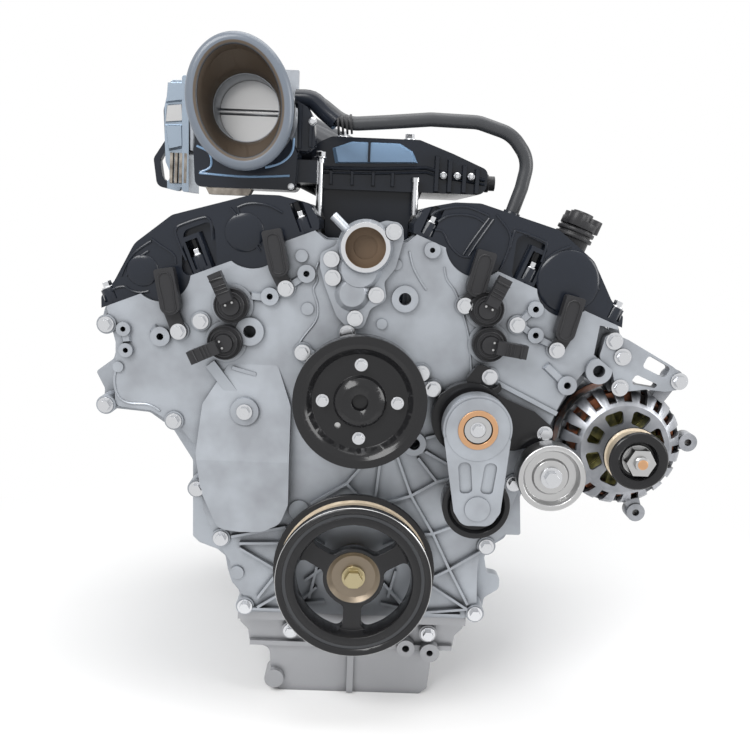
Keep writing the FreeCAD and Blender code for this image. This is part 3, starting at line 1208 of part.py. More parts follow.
def alternator():
    x = float(S.alternator_x)
    z = float(S.alternator_height)
    outer = S.alternator_radius
    turned("alternator_front_housing", [
        (ALT_SHAFT + S.running_fit, ALT_SHELL_FRONT), (Size(52), ALT_SHELL_FRONT), (outer - 6, ALT_SHELL_FRONT + 12),
        (outer, ALT_SHELL_FRONT + 22), (outer, ALT_SPLIT_FRONT), (outer - 5, ALT_SPLIT_FRONT),
        (outer - 5, ALT_SHELL_FRONT + 24), (outer - 11, ALT_SHELL_FRONT + 15), (Size(50), ALT_SHELL_FRONT + 5),
        (Size(24), ALT_SHELL_FRONT + 5), (Size(20), ALT_SHELL_FRONT + 14), (ALT_SHAFT + S.running_fit, ALT_SHELL_FRONT + 14)],
        S.alternator_x, S.alternator_height)
    window = slab([(x - 8, z + 30, 3), (x + 8, z + 30, 3), (x + 12, z + 46, 4), (x - 12, z + 46, 4)],
                  ALT_SHELL_FRONT - 1, ALT_SHELL_FRONT + 8)
    slot = block(x - 4.5, x + 4.5, ALT_SHELL_FRONT - 5, ALT_SHELL_FRONT + 26, z + 56, z + 68)
    side_slot = block(x - 4.5, x + 4.5, ALT_SHELL_FRONT + 14, ALT_SPLIT_FRONT - 5, z + 62, z + 80)
    drilled("alternator_front_housing", around(x, z, window, 8, 22.5) + around(x, z, slot, 20)
            + around(x, z, side_slot, 20))
    alternator_lugs(x, z)
    stator = rod(x, z, outer - 1, ALT_SPLIT_FRONT, ALT_SPLIT_REAR).cut(
        rod(x, z, 51, ALT_SPLIT_FRONT, ALT_SPLIT_REAR))
    coils = []
    for front, rear in ((ALT_SPLIT_FRONT - 12, ALT_SPLIT_FRONT), (ALT_SPLIT_REAR, ALT_SPLIT_REAR + 12)):
        coils.append(rod(x, z, outer - 8, front, rear).cut(rod(x, z, 53, front, rear)))
    keep("alternator_stator", Part.makeCompound([stator] + coils))
    rear_shell = rod(x, z, outer, ALT_SPLIT_REAR, ALT_REAR)
    rear_shell = rear_shell.cut([rod(x, z, outer - 5, ALT_SPLIT_REAR, ALT_REAR - 6)]
                                + around(x, z, block(x - 4, x + 4, ALT_REAR - 30, ALT_REAR + 1, z + 30, z + 80), 12))
    keep("alternator_rear_housing", rear_shell)
    pulley_front = -S.belt_plane - S.belt_width / 2 - 2
    rotor = [rod(x, z, ALT_SHAFT, pulley_front - 12, ALT_REAR - 12), rod(x, z, 49, ALT_SPLIT_FRONT + 3, ALT_SPLIT_REAR - 3),
             rod(x, z, 12, ALT_SHELL_FRONT + 15, ALT_SPLIT_FRONT + 3)]
    fan = slab([(x - 7, z + 8), (x + 7, z + 8), (x + 14, z + 47), (x + 2, z + 49)], ALT_SHELL_FRONT + 18,
               ALT_SHELL_FRONT + 22)
    rotor += around(x, z, fan, 10)
    keep("alternator_rotor", fused(*rotor))
    radius = S.alternator_pulley_radius
    rear = -S.belt_plane + S.belt_width / 2
    turned("alternator_pulley", [
        (ALT_SHAFT + S.running_fit, pulley_front + 12), (Size(20), pulley_front + 12), (Size(22), pulley_front + 1),
        (radius - 2, pulley_front), (radius, pulley_front + 2), (radius, pulley_front + 5), (radius - 3, pulley_front + 6),
        (radius - 3, rear - 3), (radius, rear - 2), (radius, rear), (Size(14), rear), (Size(14), ALT_SHELL_FRONT - 0.5),
        (ALT_SHAFT + S.running_fit, ALT_SHELL_FRONT - 0.5)], S.alternator_x, S.alternator_height)
    nut = fused(rod(x, z, 17, pulley_front + 8, pulley_front + 12),
                hexagon(Vector(x, pulley_front + 8, z), 16.5, 15, FORWARD))
    keep("alternator_nut", nut.cut(rod(x, z, ALT_SHAFT + S.running_fit, pulley_front - 20, pulley_front + 13)))


def alternator_lugs(x, z):
    """The ears that the bracket's bolts and the lower mount hold."""
    front = FACE - S.cover_depth + 15
    outer = S.alternator_radius
    shell = rod(x, z, outer - 4, front - 20, ALT_SPLIT_FRONT)
    seats = [(367, 235), (299, 225), (337, 70), (391, 159)]
    ears = []
    for ear_x, ear_z in seats:
        ears.append(rod(ear_x, ear_z, 11, front, ALT_SPLIT_FRONT))
        ears.append(rib((ear_x, ear_z), (x, z), 8, front + 2, ALT_SPLIT_FRONT))
    lugs = fused(*ears).cut([shell, rod(337, 70, 4.2, -500, 0), rod(391, 159, 4.2, -500, 0)])
    joined("alternator_front_housing", [lugs])
    drilled("alternator_front_housing", alternator_bolts()[1])


def alternator_bolts():
    front = FACE - S.cover_depth
    seats = [(x, front, z) for x, z in ((288, 279), (299, 261), (367, 235), (299, 225))]
    return bolts_with_drills(seats, FORWARD, 24, 1.1)


BRACKET = [(279, 289, 8), (304, 281, 12), (358, 252, 12), (374, 240, 10), (368, 225, 8), (352, 222, 8),
           (330, 224, 12), (296, 219, 10), (288, 246, 12), (272, 258, 8)]


def alternator_bracket():
    front = FACE - S.cover_depth
    rear = front + 15
    plate = slab(BRACKET, front, rear)
    plate = plate.cut([slab([(329, 264, 4), (356, 250, 4), (350, 238, 4), (323, 250, 4)], front - 1, rear + 1),
                       slab([(317, 241, 4), (343, 230, 4), (340, 226, 2), (310, 230, 6)], front - 1, rear + 1)])
    bolts, drills = alternator_bolts()
    keep("alternator_bracket", plate.cut(drills))
    keep("front_bolts", Part.makeCompound(timing_bolts() + bolts))


# Thermostat outlet, coolant pipe and intake

OUTLET_FOOT = [(-50, 366, 9), (-50, 350, 9), (-44, 330, 9), (-30, 296, 12), (-18, 284, 9), (0, 282, 9),
               (8, 306, 10), (26, 316, 8), (22, 336, 8), (34, 352, 10), (42, 384, 9), (40, 402, 10), (22, 404, 10),
               (10, 400, 6), (-24, 398, 14), (-34, 374, 8)]


def thermostat_housing():
    wall = FACE - S.cover_depth
    seat = wall - OUTLET_FLANGE
    z = S.thermostat_height
    mouth = -S.thermostat_mouth - 8
    body = [slab(OUTLET_FOOT, seat, wall), cone(0, z, S.thermostat_radius, S.thermostat_radius + 4, mouth, seat),
            cone(-6, 350, 20, 25, seat - 8, seat), cone(-13, 322, 14, 20, seat - 7, seat)]
    nipple = Part.makeCylinder(5, 34, Vector(-12, seat - 6, z + 10), Vector(-0.72, 0.1, 0.68))
    body.append(nipple)
    cuts = [rod(0, z, S.thermostat_radius - 5, mouth - 1, mouth + 16), rod(0, z, 13.5, mouth, seat + 2)]
    cuts += [rod(x, height, S.bolt_shank + S.running_fit, seat - 20, wall + 1) for x, height in OUTLET_BOLTS]
    cuts += [rod(x, height, S.bolt_flange + 1, seat - 20, seat) for x, height in OUTLET_BOLTS]
    cuts += [rod(x, height, S.bolt_flange + S.seat_gap, seat - 40, wall) for x, height in PUMP_BOLTS]
    keep("thermostat_housing", fused(*body).cut(cuts))


def tube_along(points, radius, bend):
    """A round tube along straight runs joined by tangent arcs."""
    edges = []
    last = points[0]
    for index in range(1, len(points) - 1):
        corner = points[index]
        back = (points[index - 1] - corner)
        ahead = (points[index + 1] - corner)
        half = back.getAngle(ahead) / 2
        reach = min(bend / math.tan(half), 0.45 * min(back.Length, ahead.Length))
        back.normalize()
        ahead.normalize()
        inward = (back + ahead).normalize()
        start = corner + back * reach
        end = corner + ahead * reach
        middle = corner + inward * (reach / math.cos(half) - reach * math.tan(half))
        edges += [Part.LineSegment(last, start).toShape(), Part.Arc(start, middle, end).toShape()]
        last = end
    edges.append(Part.LineSegment(last, points[-1]).toShape())
    path = Part.Wire(edges)
    heading = points[1] - points[0]
    ring = Part.Wire(Part.makeCircle(radius, points[0], heading))
    return path.makePipeShell([ring], True, False)


HOSE_ROUTE = [Vector(-86.6, -392, 540), Vector(-60, -395, 536), Vector(-28, -400, 512), Vector(20, -402, 516),
              Vector(70, -402, 521), Vector(125, -402, 520), Vector(165, -402, 508), Vector(186, -402, 480),
              Vector(180, -402, 448), Vector(171, -402, 420)]


def breather():
    hose = tube_along(HOSE_ROUTE, S.hose_radius, 40)
    keep("breather_hose", hose)


THROTTLE_FRONT = -396
THROTTLE_REAR = -338
THROTTLE_LIP = 45
DUCT_BEAD = 8


def oval(half_width, half_height, y):
    """An upright oval round the duct's line, its top leaned to -X."""
    lean = math.radians(S.duct_lean)
    centre = Vector(S.duct_x, y, S.duct_height)
    tall = Vector(-math.sin(lean), 0, math.cos(lean))
    wide = Vector(math.cos(lean), 0, math.sin(lean))
    curve = Part.Ellipse(centre + tall * (half_height + 0.01), centre + wide * half_width, centre)
    return Part.Wire(curve.toShape())


def funnel(stations):
    """A tube wall's surface through ovals, each given as y, half width and half height."""
    return Part.makeLoft([oval(wide, tall, y) for y, wide, tall in stations], True, True)


def air_duct():
    """A rubber duct with a tall oval mouth that turns round where it grips the throttle body."""
    mouth = -S.duct_front + DUCT_BEAD
    wide = S.duct_half_width - DUCT_BEAD
    tall = S.duct_half_height - DUCT_BEAD
    grip = THROTTLE_LIP + S.seat_gap
    rear = THROTTLE_FRONT - S.seat_gap
    wall = S.duct_wall
    path = oval(wide, tall, mouth)
    lean = math.radians(S.duct_lean)
    top = Vector(S.duct_x - math.sin(lean) * tall, mouth, S.duct_height + math.cos(lean) * tall)
    bead = path.makePipeShell([Part.Wire(Part.makeCircle(DUCT_BEAD, top, Vector(math.cos(lean), 0, math.sin(lean))))],
                              True, False)
    outer = funnel([(mouth, wide + 1, tall + 1), (mouth + 22, wide + 1, tall + 1), (-428, wide + 1, wide + 3),
                    (-416, grip + wall, grip + wall), (rear, grip + wall, grip + wall)])
    inner = funnel([(mouth - DUCT_BEAD - 1, wide - 5, tall - 5), (mouth + 20, wide - 6, tall - 6),
                    (-424, 40, 42), (THROTTLE_FRONT - 16, S.throttle_bore + 1, S.throttle_bore + 1),
                    (THROTTLE_FRONT - 14, S.throttle_bore + 1, S.throttle_bore + 1)])
    socket = rod(S.duct_x, S.duct_height, grip, THROTTLE_FRONT - 15.3, THROTTLE_FRONT)
    clamp = rod(S.duct_x, S.duct_height, grip + wall + 2, -411, -401)
    keep("air_duct", fused(outer, bead, clamp).cut([inner, socket]))


MANIFOLD_REAR = -70
PLENUM_TOP = 503
GEAR_FACE = 68


def throttle():
    x = S.duct_x
    z = S.duct_height
    body = [rod(x, z, 54, THROTTLE_FRONT, THROTTLE_REAR), rod(x, z, THROTTLE_LIP, THROTTLE_FRONT - 15, THROTTLE_FRONT),
            block(x - GEAR_FACE, x, THROTTLE_FRONT + 6, THROTTLE_REAR - 6, z - 50, z + 26),
            block(x - 54, x + 54, THROTTLE_REAR - 10, THROTTLE_REAR, z - 54, z + 54)]
    solid = fused(*body)
    middle = (THROTTLE_FRONT + THROTTLE_REAR) / 2
    bore = rod(x, z, S.throttle_bore, THROTTLE_FRONT - 20, THROTTLE_REAR + 1)
    shaft_hole = Part.makeCylinder(4 + S.running_fit, 120, Vector(x - 62, middle, z), Vector(1, 0, 0))
    keep("throttle_body", solid.cut([bore, shaft_hole]))
    plate = Part.makeCylinder(S.throttle_bore - S.seat_gap, 2.5, Vector(x, middle - 1.25, z), Vector(0, 1, 0))
    shaft = Part.makeCylinder(4, 112, Vector(x - 60, middle, z), Vector(1, 0, 0))
    keep("throttle_plate", fused(plate, shaft))
    gear = slab([(x - 96, z - 62, 6), (x - 84, z - 90, 6), (x - GEAR_FACE, z - 92, 3), (x - GEAR_FACE, z + 30, 3),
                 (x - 90, z + 30, 6), (x - 98, z - 4, 10)], THROTTLE_FRONT + 2, THROTTLE_REAR - 2)
    lip = slab([(x - 76, z - 96, 3), (x - GEAR_FACE, z - 96, 0), (x - GEAR_FACE, z + 35, 0), (x - 76, z + 35, 3)],
               THROTTLE_FRONT - 2, THROTTLE_REAR + 2)
    loop = slab([(x - 92, z - 26, 0), (x - 113, z - 58, 9), (x - 109, z - 90, 9), (x - 80, z - 96, 4)],
                THROTTLE_FRONT + 14, THROTTLE_FRONT + 26)
    eye = slab([(x - 95, z - 42, 2), (x - 105, z - 60, 4), (x - 102, z - 82, 5), (x - 94, z - 84, 3)], -500, -200)
    keep("throttle_gear_cover", fused(gear, lip, loop.cut(eye)))


def intake_manifold():
    x = S.duct_x
    z = S.duct_height
    snout = [rod(x, z, 54, THROTTLE_REAR, -262),
             Part.makeCylinder(44, 120, Vector(x, -292, z - 10), Vector(1, 0, -0.45))]
    plenum = slab([(-70, 440, 20), (-70, 492, 24), (-46, PLENUM_TOP, 8), (62, PLENUM_TOP, 8), (104, 488, 16), (148, 470, 10),
                   (146, 440, 12)], -345, MANIFOLD_REAR)
    side = [(48, 290, 6), (54.6, 366, 3), (52.5, 382, 2), (52.5, 402, 2), (61, 424, 4), (68, 441, 0)]
    legs = slab(side + flip(side), -330, MANIFOLD_REAR)
    saddle = slab([(x - 56, 434, 8), (x + 58, 434, 8), (x + 60, 476, 8), (x + 50, 496, 4), (x - 52, 500, 4), (x - 58, 476, 8)],
                  THROTTLE_FRONT - 26, THROTTLE_REAR)
    around_duct = Part.Face(oval(58, 66, -600)).extrude(Vector(0, 600 + THROTTLE_FRONT, 0))
    saddle = saddle.cut([around_duct, rod(x, z, 60, -600, THROTTLE_REAR + 1),
                         block(x - 70, x + 55, THROTTLE_FRONT, THROTTLE_REAR, z - 55, z)])
    link = block(x + 40, -60, -400, THROTTLE_REAR + 40, 444, 470)
    solid = fused(plenum, legs, saddle, link, *snout)
    bore = rod(x, z, S.throttle_bore, THROTTLE_REAR - 1, -280)
    seats, drills = manifold_bolts()
    for x, y, z in manifold_seats():
        drills.append(Part.makeCylinder(S.bolt_flange, 60, Vector(x, y, z), Vector(0, 0, 1)))
    keep("intake_manifold", solid.cut([bore] + drills))
    keep("intake_manifold_bolts", Part.makeCompound(seats))


def manifold_seats():
    return [(x, y, PLENUM_TOP) for y in (-328, -236, -160, -84) for x in (-34, 50)]


def manifold_bolts():
    return bolts_with_drills(manifold_seats(), (0, 0, 1), 40, 0.9)


def oil_filler():
    foot, way = filler_foot()
    neck = fused(Part.makeCylinder(FILLER_RADIUS, 29, foot - way * 3, way),
                 Part.makeCylinder(FILLER_RADIUS + 3, 4, foot + way * 13, way),
                 Part.makeCylinder(FILLER_RADIUS + 3, 4, foot + way * 20, way))
    neck = neck.cut(Part.makeCylinder(14, 50, foot - way * 10, way))
    cap_foot = foot + way * (26 + S.seat_gap)
    lobes = [Part.makeCylinder(21, 8, cap_foot, way)]
    for k in range(3):
        arm = Part.makeCylinder(10, 15, Vector(15 * math.cos(math.radians(120 * k)), 15 * math.sin(math.radians(120 * k)), 0))
        arm.Placement = FreeCAD.Placement(cap_foot, FreeCAD.Rotation(Vector(0, 0, 1), way))
        lobes.append(arm)
    lobes.append(Part.makeCylinder(12, 18, cap_foot, way))
    lobes.append(Part.makeCylinder(14 - S.seat_gap, 12, cap_foot - way * 12, way))
    keep("oil_filler_neck", neck)
    keep("oil_filler_cap", fused(*lobes))


# Oil pan

PAN_FRONT = -430
PAN_REAR = -14
PAN_LIP = -452


def oil_pan():
    top = -S.pan_rail_drop
    bottom = top - S.pan_depth
    half = S.rail_half_width
    low = S.pan_half_width
    side = [(half, top, 0), (half, top - 24, 6), (half - 10, top - 34, 6), (half - 12, top - S.pan_step, 6),
            (low, top - S.pan_step - 8, 10), (low - 4, bottom + 8, 8), (low - 14, bottom, 0)]
    body = slab(side + flip(side), PAN_FRONT, PAN_REAR)
    wall = S.pan_wall
    inner = [(S.crankcase_radius - wall, top + 1, 0), (S.crankcase_radius - wall, bottom + wall, 8)]
    cavity = slab(inner + flip(inner), PAN_FRONT + 20, PAN_REAR - wall)
    lip = block(-half, half, PAN_LIP, PAN_FRONT, top - 10, top)
    lugs = [rod(68, -117, 11, PAN_FRONT - 14, PAN_FRONT), rod(98, -122, 12, PAN_FRONT - 14, PAN_FRONT),
            rod(-95, -166, 12, PAN_FRONT - 8, PAN_FRONT + 20), block(-4, 4, PAN_FRONT - 6, PAN_FRONT, bottom + 2, top - S.pan_step),
            block(-126, 126, PAN_FRONT - 6, PAN_FRONT, top - S.pan_step - 2, top - S.pan_step + 4)]
    for x, z in PAN_BOLTS:
        lugs.append(rod(x, z, S.boss_radius, PAN_FRONT - 14, PAN_FRONT))
    front, front_holes = pan_front_bolts()
    up, up_holes = pan_rail_bolts()
    clear = [Part.makeCylinder(10, 60, Vector(*seat) - Vector(0, 0, 60), Vector(0, 0, 1)) for seat in pan_rail_seats()]
    cuts = [cavity, rod(68, -117, 4.5, PAN_FRONT - 20, PAN_FRONT), rod(98, -122, 4, PAN_FRONT - 20, PAN_FRONT),
            drain_hole()] + front_holes + up_holes + clear
    keep("oil_pan", fused(body, lip, *lugs).cut(cuts))
    keep("oil_pan_bolts", Part.makeCompound(front + up))
    x, y, z = DRAIN
    plug = fused(Part.makeCylinder(9, 18, Vector(x - 14, y, z), Vector(1, 0, 0)),
                 Part.makeCylinder(14, 4, Vector(x, y, z), Vector(1, 0, 0)),
                 hexagon(Vector(x + 4, y, z), 11, 8, Vector(1, 0, 0)))
    keep("oil_drain_plug", plug)


PAN_BOLTS = [(-75, -97), (94.5, -96)]
DRAIN = (102.0, -90.0, -160.0)


def drain_hole():
    x, y, z = DRAIN
    tool = Part.makeCylinder(9 + S.running_fit, 40, Vector(x - 30, y, z), Vector(1, 0, 0))
    spot = Part.makeCylinder(15, 20, Vector(x, y, z), Vector(1, 0, 0))
    return tool.fuse(spot)


def pan_front_bolts():
    return bolts_with_drills([(x, PAN_FRONT - 14, z) for x, z in PAN_BOLTS], FORWARD, 12)


def pan_rail_seats():
    return [(sign * (S.rail_half_width - 18), y, -S.pan_rail_drop - 20)
            for sign in (1, -1) for y in (-380, -290, -200, -110, -34)]


def pan_rail_bolts():
    return bolts_with_drills(pan_rail_seats(), (0, 0, -1), 30, 0.9)


# Build and export

def build():
    engine_block()
    main_bearing_caps()
    crankshaft()
    rear_seal_housing()
    pistons()
    cylinder_heads()
    camshafts()
    relay_wheels()
    timing_chains()
    crank_sprocket()
    cam_covers()
    ignition_parts()
    timing_cover()
    phaser_solenoids()
    cam_sensors()
    water_pump()
    crank_damper()
    belt_tensioner()
    idler()
    alternator()
    alternator_bracket()
    thermostat_housing()
    breather()
    air_duct()
    throttle()
    intake_manifold()
    oil_filler()
    oil_pan()
    doc.recompute()


def check_and_write():
    """Stops on any failed object or bad shape, then writes one file for each sub-part."""
    for item in doc.Objects:
        if "Invalid" in item.State or "Error" in item.State:
            raise RuntimeError("%s failed: %s" % (item.Label, item.State))
    for label, piece in made.items():
        if piece.Shape.isNull() or not piece.Shape.isValid() or not piece.Shape.Solids:
            raise RuntimeError("%s has no valid shape" % label)
    os.makedirs("parts", exist_ok=True)
    for label, piece in made.items():
        piece.Shape.exportStep("parts/%s.step" % label)
    print("wrote", len(made), "sub-parts")


build()
check_and_write()
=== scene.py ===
"""Looks of a V-six engine: finishes, fine pieces, floor, lamps and camera.

Lengths are in metres, apart from the tables and fine pieces, which are in millimetres.
"""
import math

import bmesh
import bpy
from mathutils import Matrix, Vector


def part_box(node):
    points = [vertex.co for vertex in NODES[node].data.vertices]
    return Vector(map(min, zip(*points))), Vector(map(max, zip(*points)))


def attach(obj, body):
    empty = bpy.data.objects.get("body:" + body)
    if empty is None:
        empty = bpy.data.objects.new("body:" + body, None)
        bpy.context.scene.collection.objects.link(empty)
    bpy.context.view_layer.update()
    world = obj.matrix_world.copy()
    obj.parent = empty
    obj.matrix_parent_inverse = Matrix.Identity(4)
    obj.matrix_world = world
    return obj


bl_info = {
    "name": "V-Six Engine",
    "version": (1, 0, 0),
    "blender": (4, 5, 0),
    "location": "3D View > Sidebar > Engine",
    "description": "Dresses a V-six engine with its finishes and fine pieces",
    "category": "Object",
}

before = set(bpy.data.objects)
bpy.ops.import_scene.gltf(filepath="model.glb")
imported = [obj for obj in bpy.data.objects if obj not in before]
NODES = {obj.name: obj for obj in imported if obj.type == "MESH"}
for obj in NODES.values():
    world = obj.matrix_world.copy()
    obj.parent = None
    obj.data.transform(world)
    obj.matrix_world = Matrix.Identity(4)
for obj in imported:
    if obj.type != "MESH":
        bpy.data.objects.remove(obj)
MM = 0.001


# User settings

def colour_setting(name, description, default):
    return bpy.props.FloatVectorProperty(name=name, description=description, subtype="COLOR",
                                         size=3, min=0.0, max=1.0, default=default)


def length_setting(name, description, default):
    return bpy.props.FloatProperty(name=name, description=description, subtype="DISTANCE",
                                   unit="LENGTH", min=0.0, default=default)


class EngineColours(bpy.types.PropertyGroup):
    """Colours of the engine's finishes."""
    # The casting colours are grey aluminium with a slight blue tint that is a painted sky
    # reflection.
    casting: colour_setting("Casting", "Bare cast aluminium", (0.385, 0.41, 0.445))
    casting_dark: colour_setting("Casting shade", "Darker patches of the castings",
                                 (0.29, 0.305, 0.33))
    pan: colour_setting("Oil pan", "Smooth metal of the oil pan", (0.34, 0.345, 0.36))
    gloss_black: colour_setting("Gloss black", "Cam covers and intake", (0.012, 0.015, 0.022))
    soft_black: colour_setting("Matt black", "Moulded plugs, sensors and caps",
                               (0.022, 0.022, 0.024))
    enamel: colour_setting("Enamel", "Black paint of the pulleys", (0.012, 0.012, 0.013))
    hub: colour_setting("Hub iron", "Bare iron in the middle of the damper's hub",
                        (0.20, 0.165, 0.125))
    groove_band: colour_setting("Groove band", "Worn belt grooves", (0.55, 0.47, 0.36))
    bolts: colour_setting("Bolts", "Bright plated bolts", (0.62, 0.63, 0.65))
    steel: colour_setting("Steel", "Turned steel", (0.50, 0.50, 0.50))
    bronze: colour_setting("Bronze", "Ring of the tensioner's bush", (0.62, 0.36, 0.20))
    copper: colour_setting("Windings", "Varnished windings", (0.42, 0.15, 0.07))
    duct: colour_setting("Duct", "Rubber of the air duct", (0.13, 0.15, 0.18))
    hose: colour_setting("Hose", "Rubber of the hoses", (0.03, 0.032, 0.036))
    brass: colour_setting("Brass", "Dull plating of the crank bolt", (0.42, 0.36, 0.22))
    # The inner wall is coloured darker and browner than the outer rubber.
    duct_inside: colour_setting("Duct inside", "Oil-stained inner wall of the duct",
                                (0.075, 0.055, 0.038))
    # Painted sky reflection: this blue stands for the sky mirrored in the black intake and also
    # colours the saddle's edge beads.
    sky_sheen: colour_setting("Blue sheen", "Raised panel of the intake", (0.19, 0.30, 0.45))


class EngineSizes(bpy.types.PropertyGroup):
    """Sizes of the fine work."""
    cast_edge: length_setting("Cast edge", "Radius on the castings' edges", 1.0 * MM)
    moulded_edge: length_setting("Moulded edge", "Radius on the mouldings' edges", 1.4 * MM)
    turned_edge: length_setting("Turned edge", "Radius on the turned pieces' edges", 0.4 * MM)


class EngineStage(bpy.types.PropertyGroup):
    """Floor, lamps and camera."""
    floor: colour_setting("Floor", "Pale floor", (0.86, 0.86, 0.86))
    world: bpy.props.FloatProperty(name="World light", default=0.55,
                                   description="Strength of the all-round light")
    key: bpy.props.FloatProperty(name="Key lamp", default=60.0,
                                 description="Power of the large front lamp, in watts")
    lens: bpy.props.FloatProperty(name="Lens", default=40.8,
                                  description="Focal length in millimetres")


def colours():
    return bpy.context.scene.engine_colours


def sizes():
    return bpy.context.scene.engine_sizes


# Places that the finishes and the fine pieces share, in millimetres; axes run along Y

ALTERNATOR_X, ALTERNATOR_Z = 312, 152
TENSIONER_X, TENSIONER_Z = 130, 183
PUMP_Z = 206
OUTLET_Z = 374
DUCT_X, DUCT_Z = -142, 524
DUCT_LEAN = math.radians(12)
ALONG_Y, FRONTWARD, UPWARD = (0, 1, 0), (0, -1, 0), (0, 0, 1)


# Node helpers

def calculate(tree, operation, first, second):
    """A sum on two values, each a socket or a plain number."""
    node = tree.nodes.new("ShaderNodeMath")
    node.operation = operation
    for slot, value in enumerate((first, second)):
        if isinstance(value, bpy.types.NodeSocket):
            tree.links.new(value, node.inputs[slot])
        else:
            node.inputs[slot].default_value = value
    return node.outputs[0]


def vector_step(tree, operation, vector, by=(0, 0, 0), output="Vector"):
    node = tree.nodes.new("ShaderNodeVectorMath")
    node.operation = operation
    tree.links.new(vector, node.inputs[0])
    node.inputs[1].default_value = by
    return node.outputs[output]


def mixed(tree, share, first, second):
    """One shader where the share is 0 and another where it is 1."""
    mix = tree.nodes.new("ShaderNodeMixShader")
    tree.links.new(share, mix.inputs["Fac"])
    tree.links.new(first, mix.inputs[1])
    tree.links.new(second, mix.inputs[2])
    return mix.outputs[0]


def surface_place(tree):
    return tree.nodes.new("ShaderNodeTexCoord").outputs["Object"]


def place_along(tree, axis):
    split = tree.nodes.new("ShaderNodeSeparateXYZ")
    tree.links.new(surface_place(tree), split.inputs[0])
    return split.outputs[axis]


def distance_from(tree, centre, along):
    """How far the surface lies from a line through the centre; along is the line's direction."""
    apart = vector_step(tree, "SUBTRACT", surface_place(tree), centre)
    flat = vector_step(tree, "MULTIPLY", apart, [1 - abs(part) for part in along])
    return vector_step(tree, "LENGTH", flat, output="Value")


def distance_from_axis(tree, x, z):
    """How far the surface lies from an axis along Y at a place in millimetres."""
    return distance_from(tree, (x * MM, 0, z * MM), ALONG_Y)


def oval_reach(tree, centre, lean, half_wide, half_tall):
    """Less than 1 inside an upright oval whose top leans to -X."""
    apart = vector_step(tree, "SUBTRACT", surface_place(tree), centre)
    wide_way = (math.cos(lean), 0, math.sin(lean))
    tall_way = (-math.sin(lean), 0, math.cos(lean))
    squares = []
    for way, half in ((wide_way, half_wide), (tall_way, half_tall)):
        by = [part / half for part in way]
        share = vector_step(tree, "DOT_PRODUCT", apart, by, "Value")
        squares.append(calculate(tree, "MULTIPLY", share, share))
    return calculate(tree, "ADD", *squares)


def between(tree, value, low, high):
    """1 where the value lies between two bounds, else 0."""
    above = calculate(tree, "GREATER_THAN", value, low)
    below = calculate(tree, "LESS_THAN", value, high)
    return calculate(tree, "MULTIPLY", above, below)


def noise(tree, size, detail=3.0, roughness=0.5):
    """Soft random spots of about the given width."""
    texture = tree.nodes.new("ShaderNodeTexNoise")
    texture.inputs["Scale"].default_value = 1 / size
    texture.inputs["Detail"].default_value = detail
    texture.inputs["Roughness"].default_value = roughness
    tree.links.new(surface_place(tree), texture.inputs["Vector"])
    return texture.outputs["Fac"]


def ramp(tree, source, stops):
    """A colour ramp from two (position, colour) stops."""
    node = tree.nodes.new("ShaderNodeValToRGB")
    for stop, (position, colour) in zip(node.color_ramp.elements, stops):
        stop.position = position
        stop.color = (*colour, 1)
    tree.links.new(source, node.inputs["Fac"])
    return node.outputs["Color"]


# Ways of making a finish

def new_finish(name, colour, roughness, metallic=0.0, specular=0.5):
    """A finish with one even colour."""
    material = bpy.data.materials.new(name)
    material.use_nodes = True
    shader = material.node_tree.nodes["Principled BSDF"]
    for socket, value in skin(colour, roughness, metallic, specular).items():
        shader.inputs[socket].default_value = value
    return material


def skin(colour, roughness, metallic=0.0, specular=0.5):
    return {"Base Color": (*colour, 1), "Roughness": roughness, "Metallic": metallic,
            "Specular IOR Level": specular}


def mottle(material, dark, light, size, low=0.35, high=0.68):
    """Lets the colour wander between two shades."""
    tree = material.node_tree
    spots = ramp(tree, noise(tree, size), [(low, dark), (high, light)])
    tree.links.new(spots, tree.nodes["Principled BSDF"].inputs["Base Color"])


def grain(material, size, depth, strength):
    """A fine rough skin such as sand casting leaves; size and depth in millimetres."""
    tree = material.node_tree
    bump = tree.nodes.new("ShaderNodeBump")
    bump.inputs["Strength"].default_value = strength
    bump.inputs["Distance"].default_value = depth * MM
    tree.links.new(noise(tree, size * MM, 4.0, 0.6), bump.inputs["Height"])
    tree.links.new(bump.outputs["Normal"], tree.nodes["Principled BSDF"].inputs["Normal"])


def painted_crevice_shade(material, reach, darkest):
    """Paints shade into the colour where faces meet in a corner; reach in millimetres."""
    tree = material.node_tree
    base = tree.nodes["Principled BSDF"].inputs["Base Color"]
    shade = tree.nodes.new("ShaderNodeAmbientOcclusion")
    shade.samples = 6
    shade.inputs["Distance"].default_value = reach * MM
    grey = ramp(tree, shade.outputs["AO"], [(0.25, (darkest,) * 3), (0.8, (1, 1, 1))])
    mix = tree.nodes.new("ShaderNodeMix")
    mix.data_type = "RGBA"
    mix.blend_type = "MULTIPLY"
    mix.inputs["Factor"].default_value = 1
    if base.is_linked:
        tree.links.new(base.links[0].from_socket, mix.inputs["A"])
    else:
        mix.inputs["A"].default_value = base.default_value
    tree.links.new(grey, mix.inputs["B"])
    tree.links.new(mix.outputs["Result"], base)


def zone(material, mask, other):
    """Shows another skin where the mask is 1."""
    tree = material.node_tree
    output = tree.nodes["Material Output"].inputs["Surface"]
    inside = tree.nodes.new("ShaderNodeBsdfPrincipled")
    for socket, value in other.items():
        inside.inputs[socket].default_value = value
    tree.links.new(mixed(tree, mask, output.links[0].from_socket, inside.outputs[0]), output)


def worn_grooves(material, reach, depths, other):
    """Another skin on the belt grooves, given as a socket with its bounds and two depths."""
    tree = material.node_tree
    value, low, high = reach
    grooves = between(tree, value, low * MM, high * MM)
    depth = between(tree, place_along(tree, 1), depths[0] * MM, depths[1] * MM)
    zone(material, calculate(tree, "MULTIPLY", grooves, depth), other)


# Finishes; the places and sizes are in millimetres

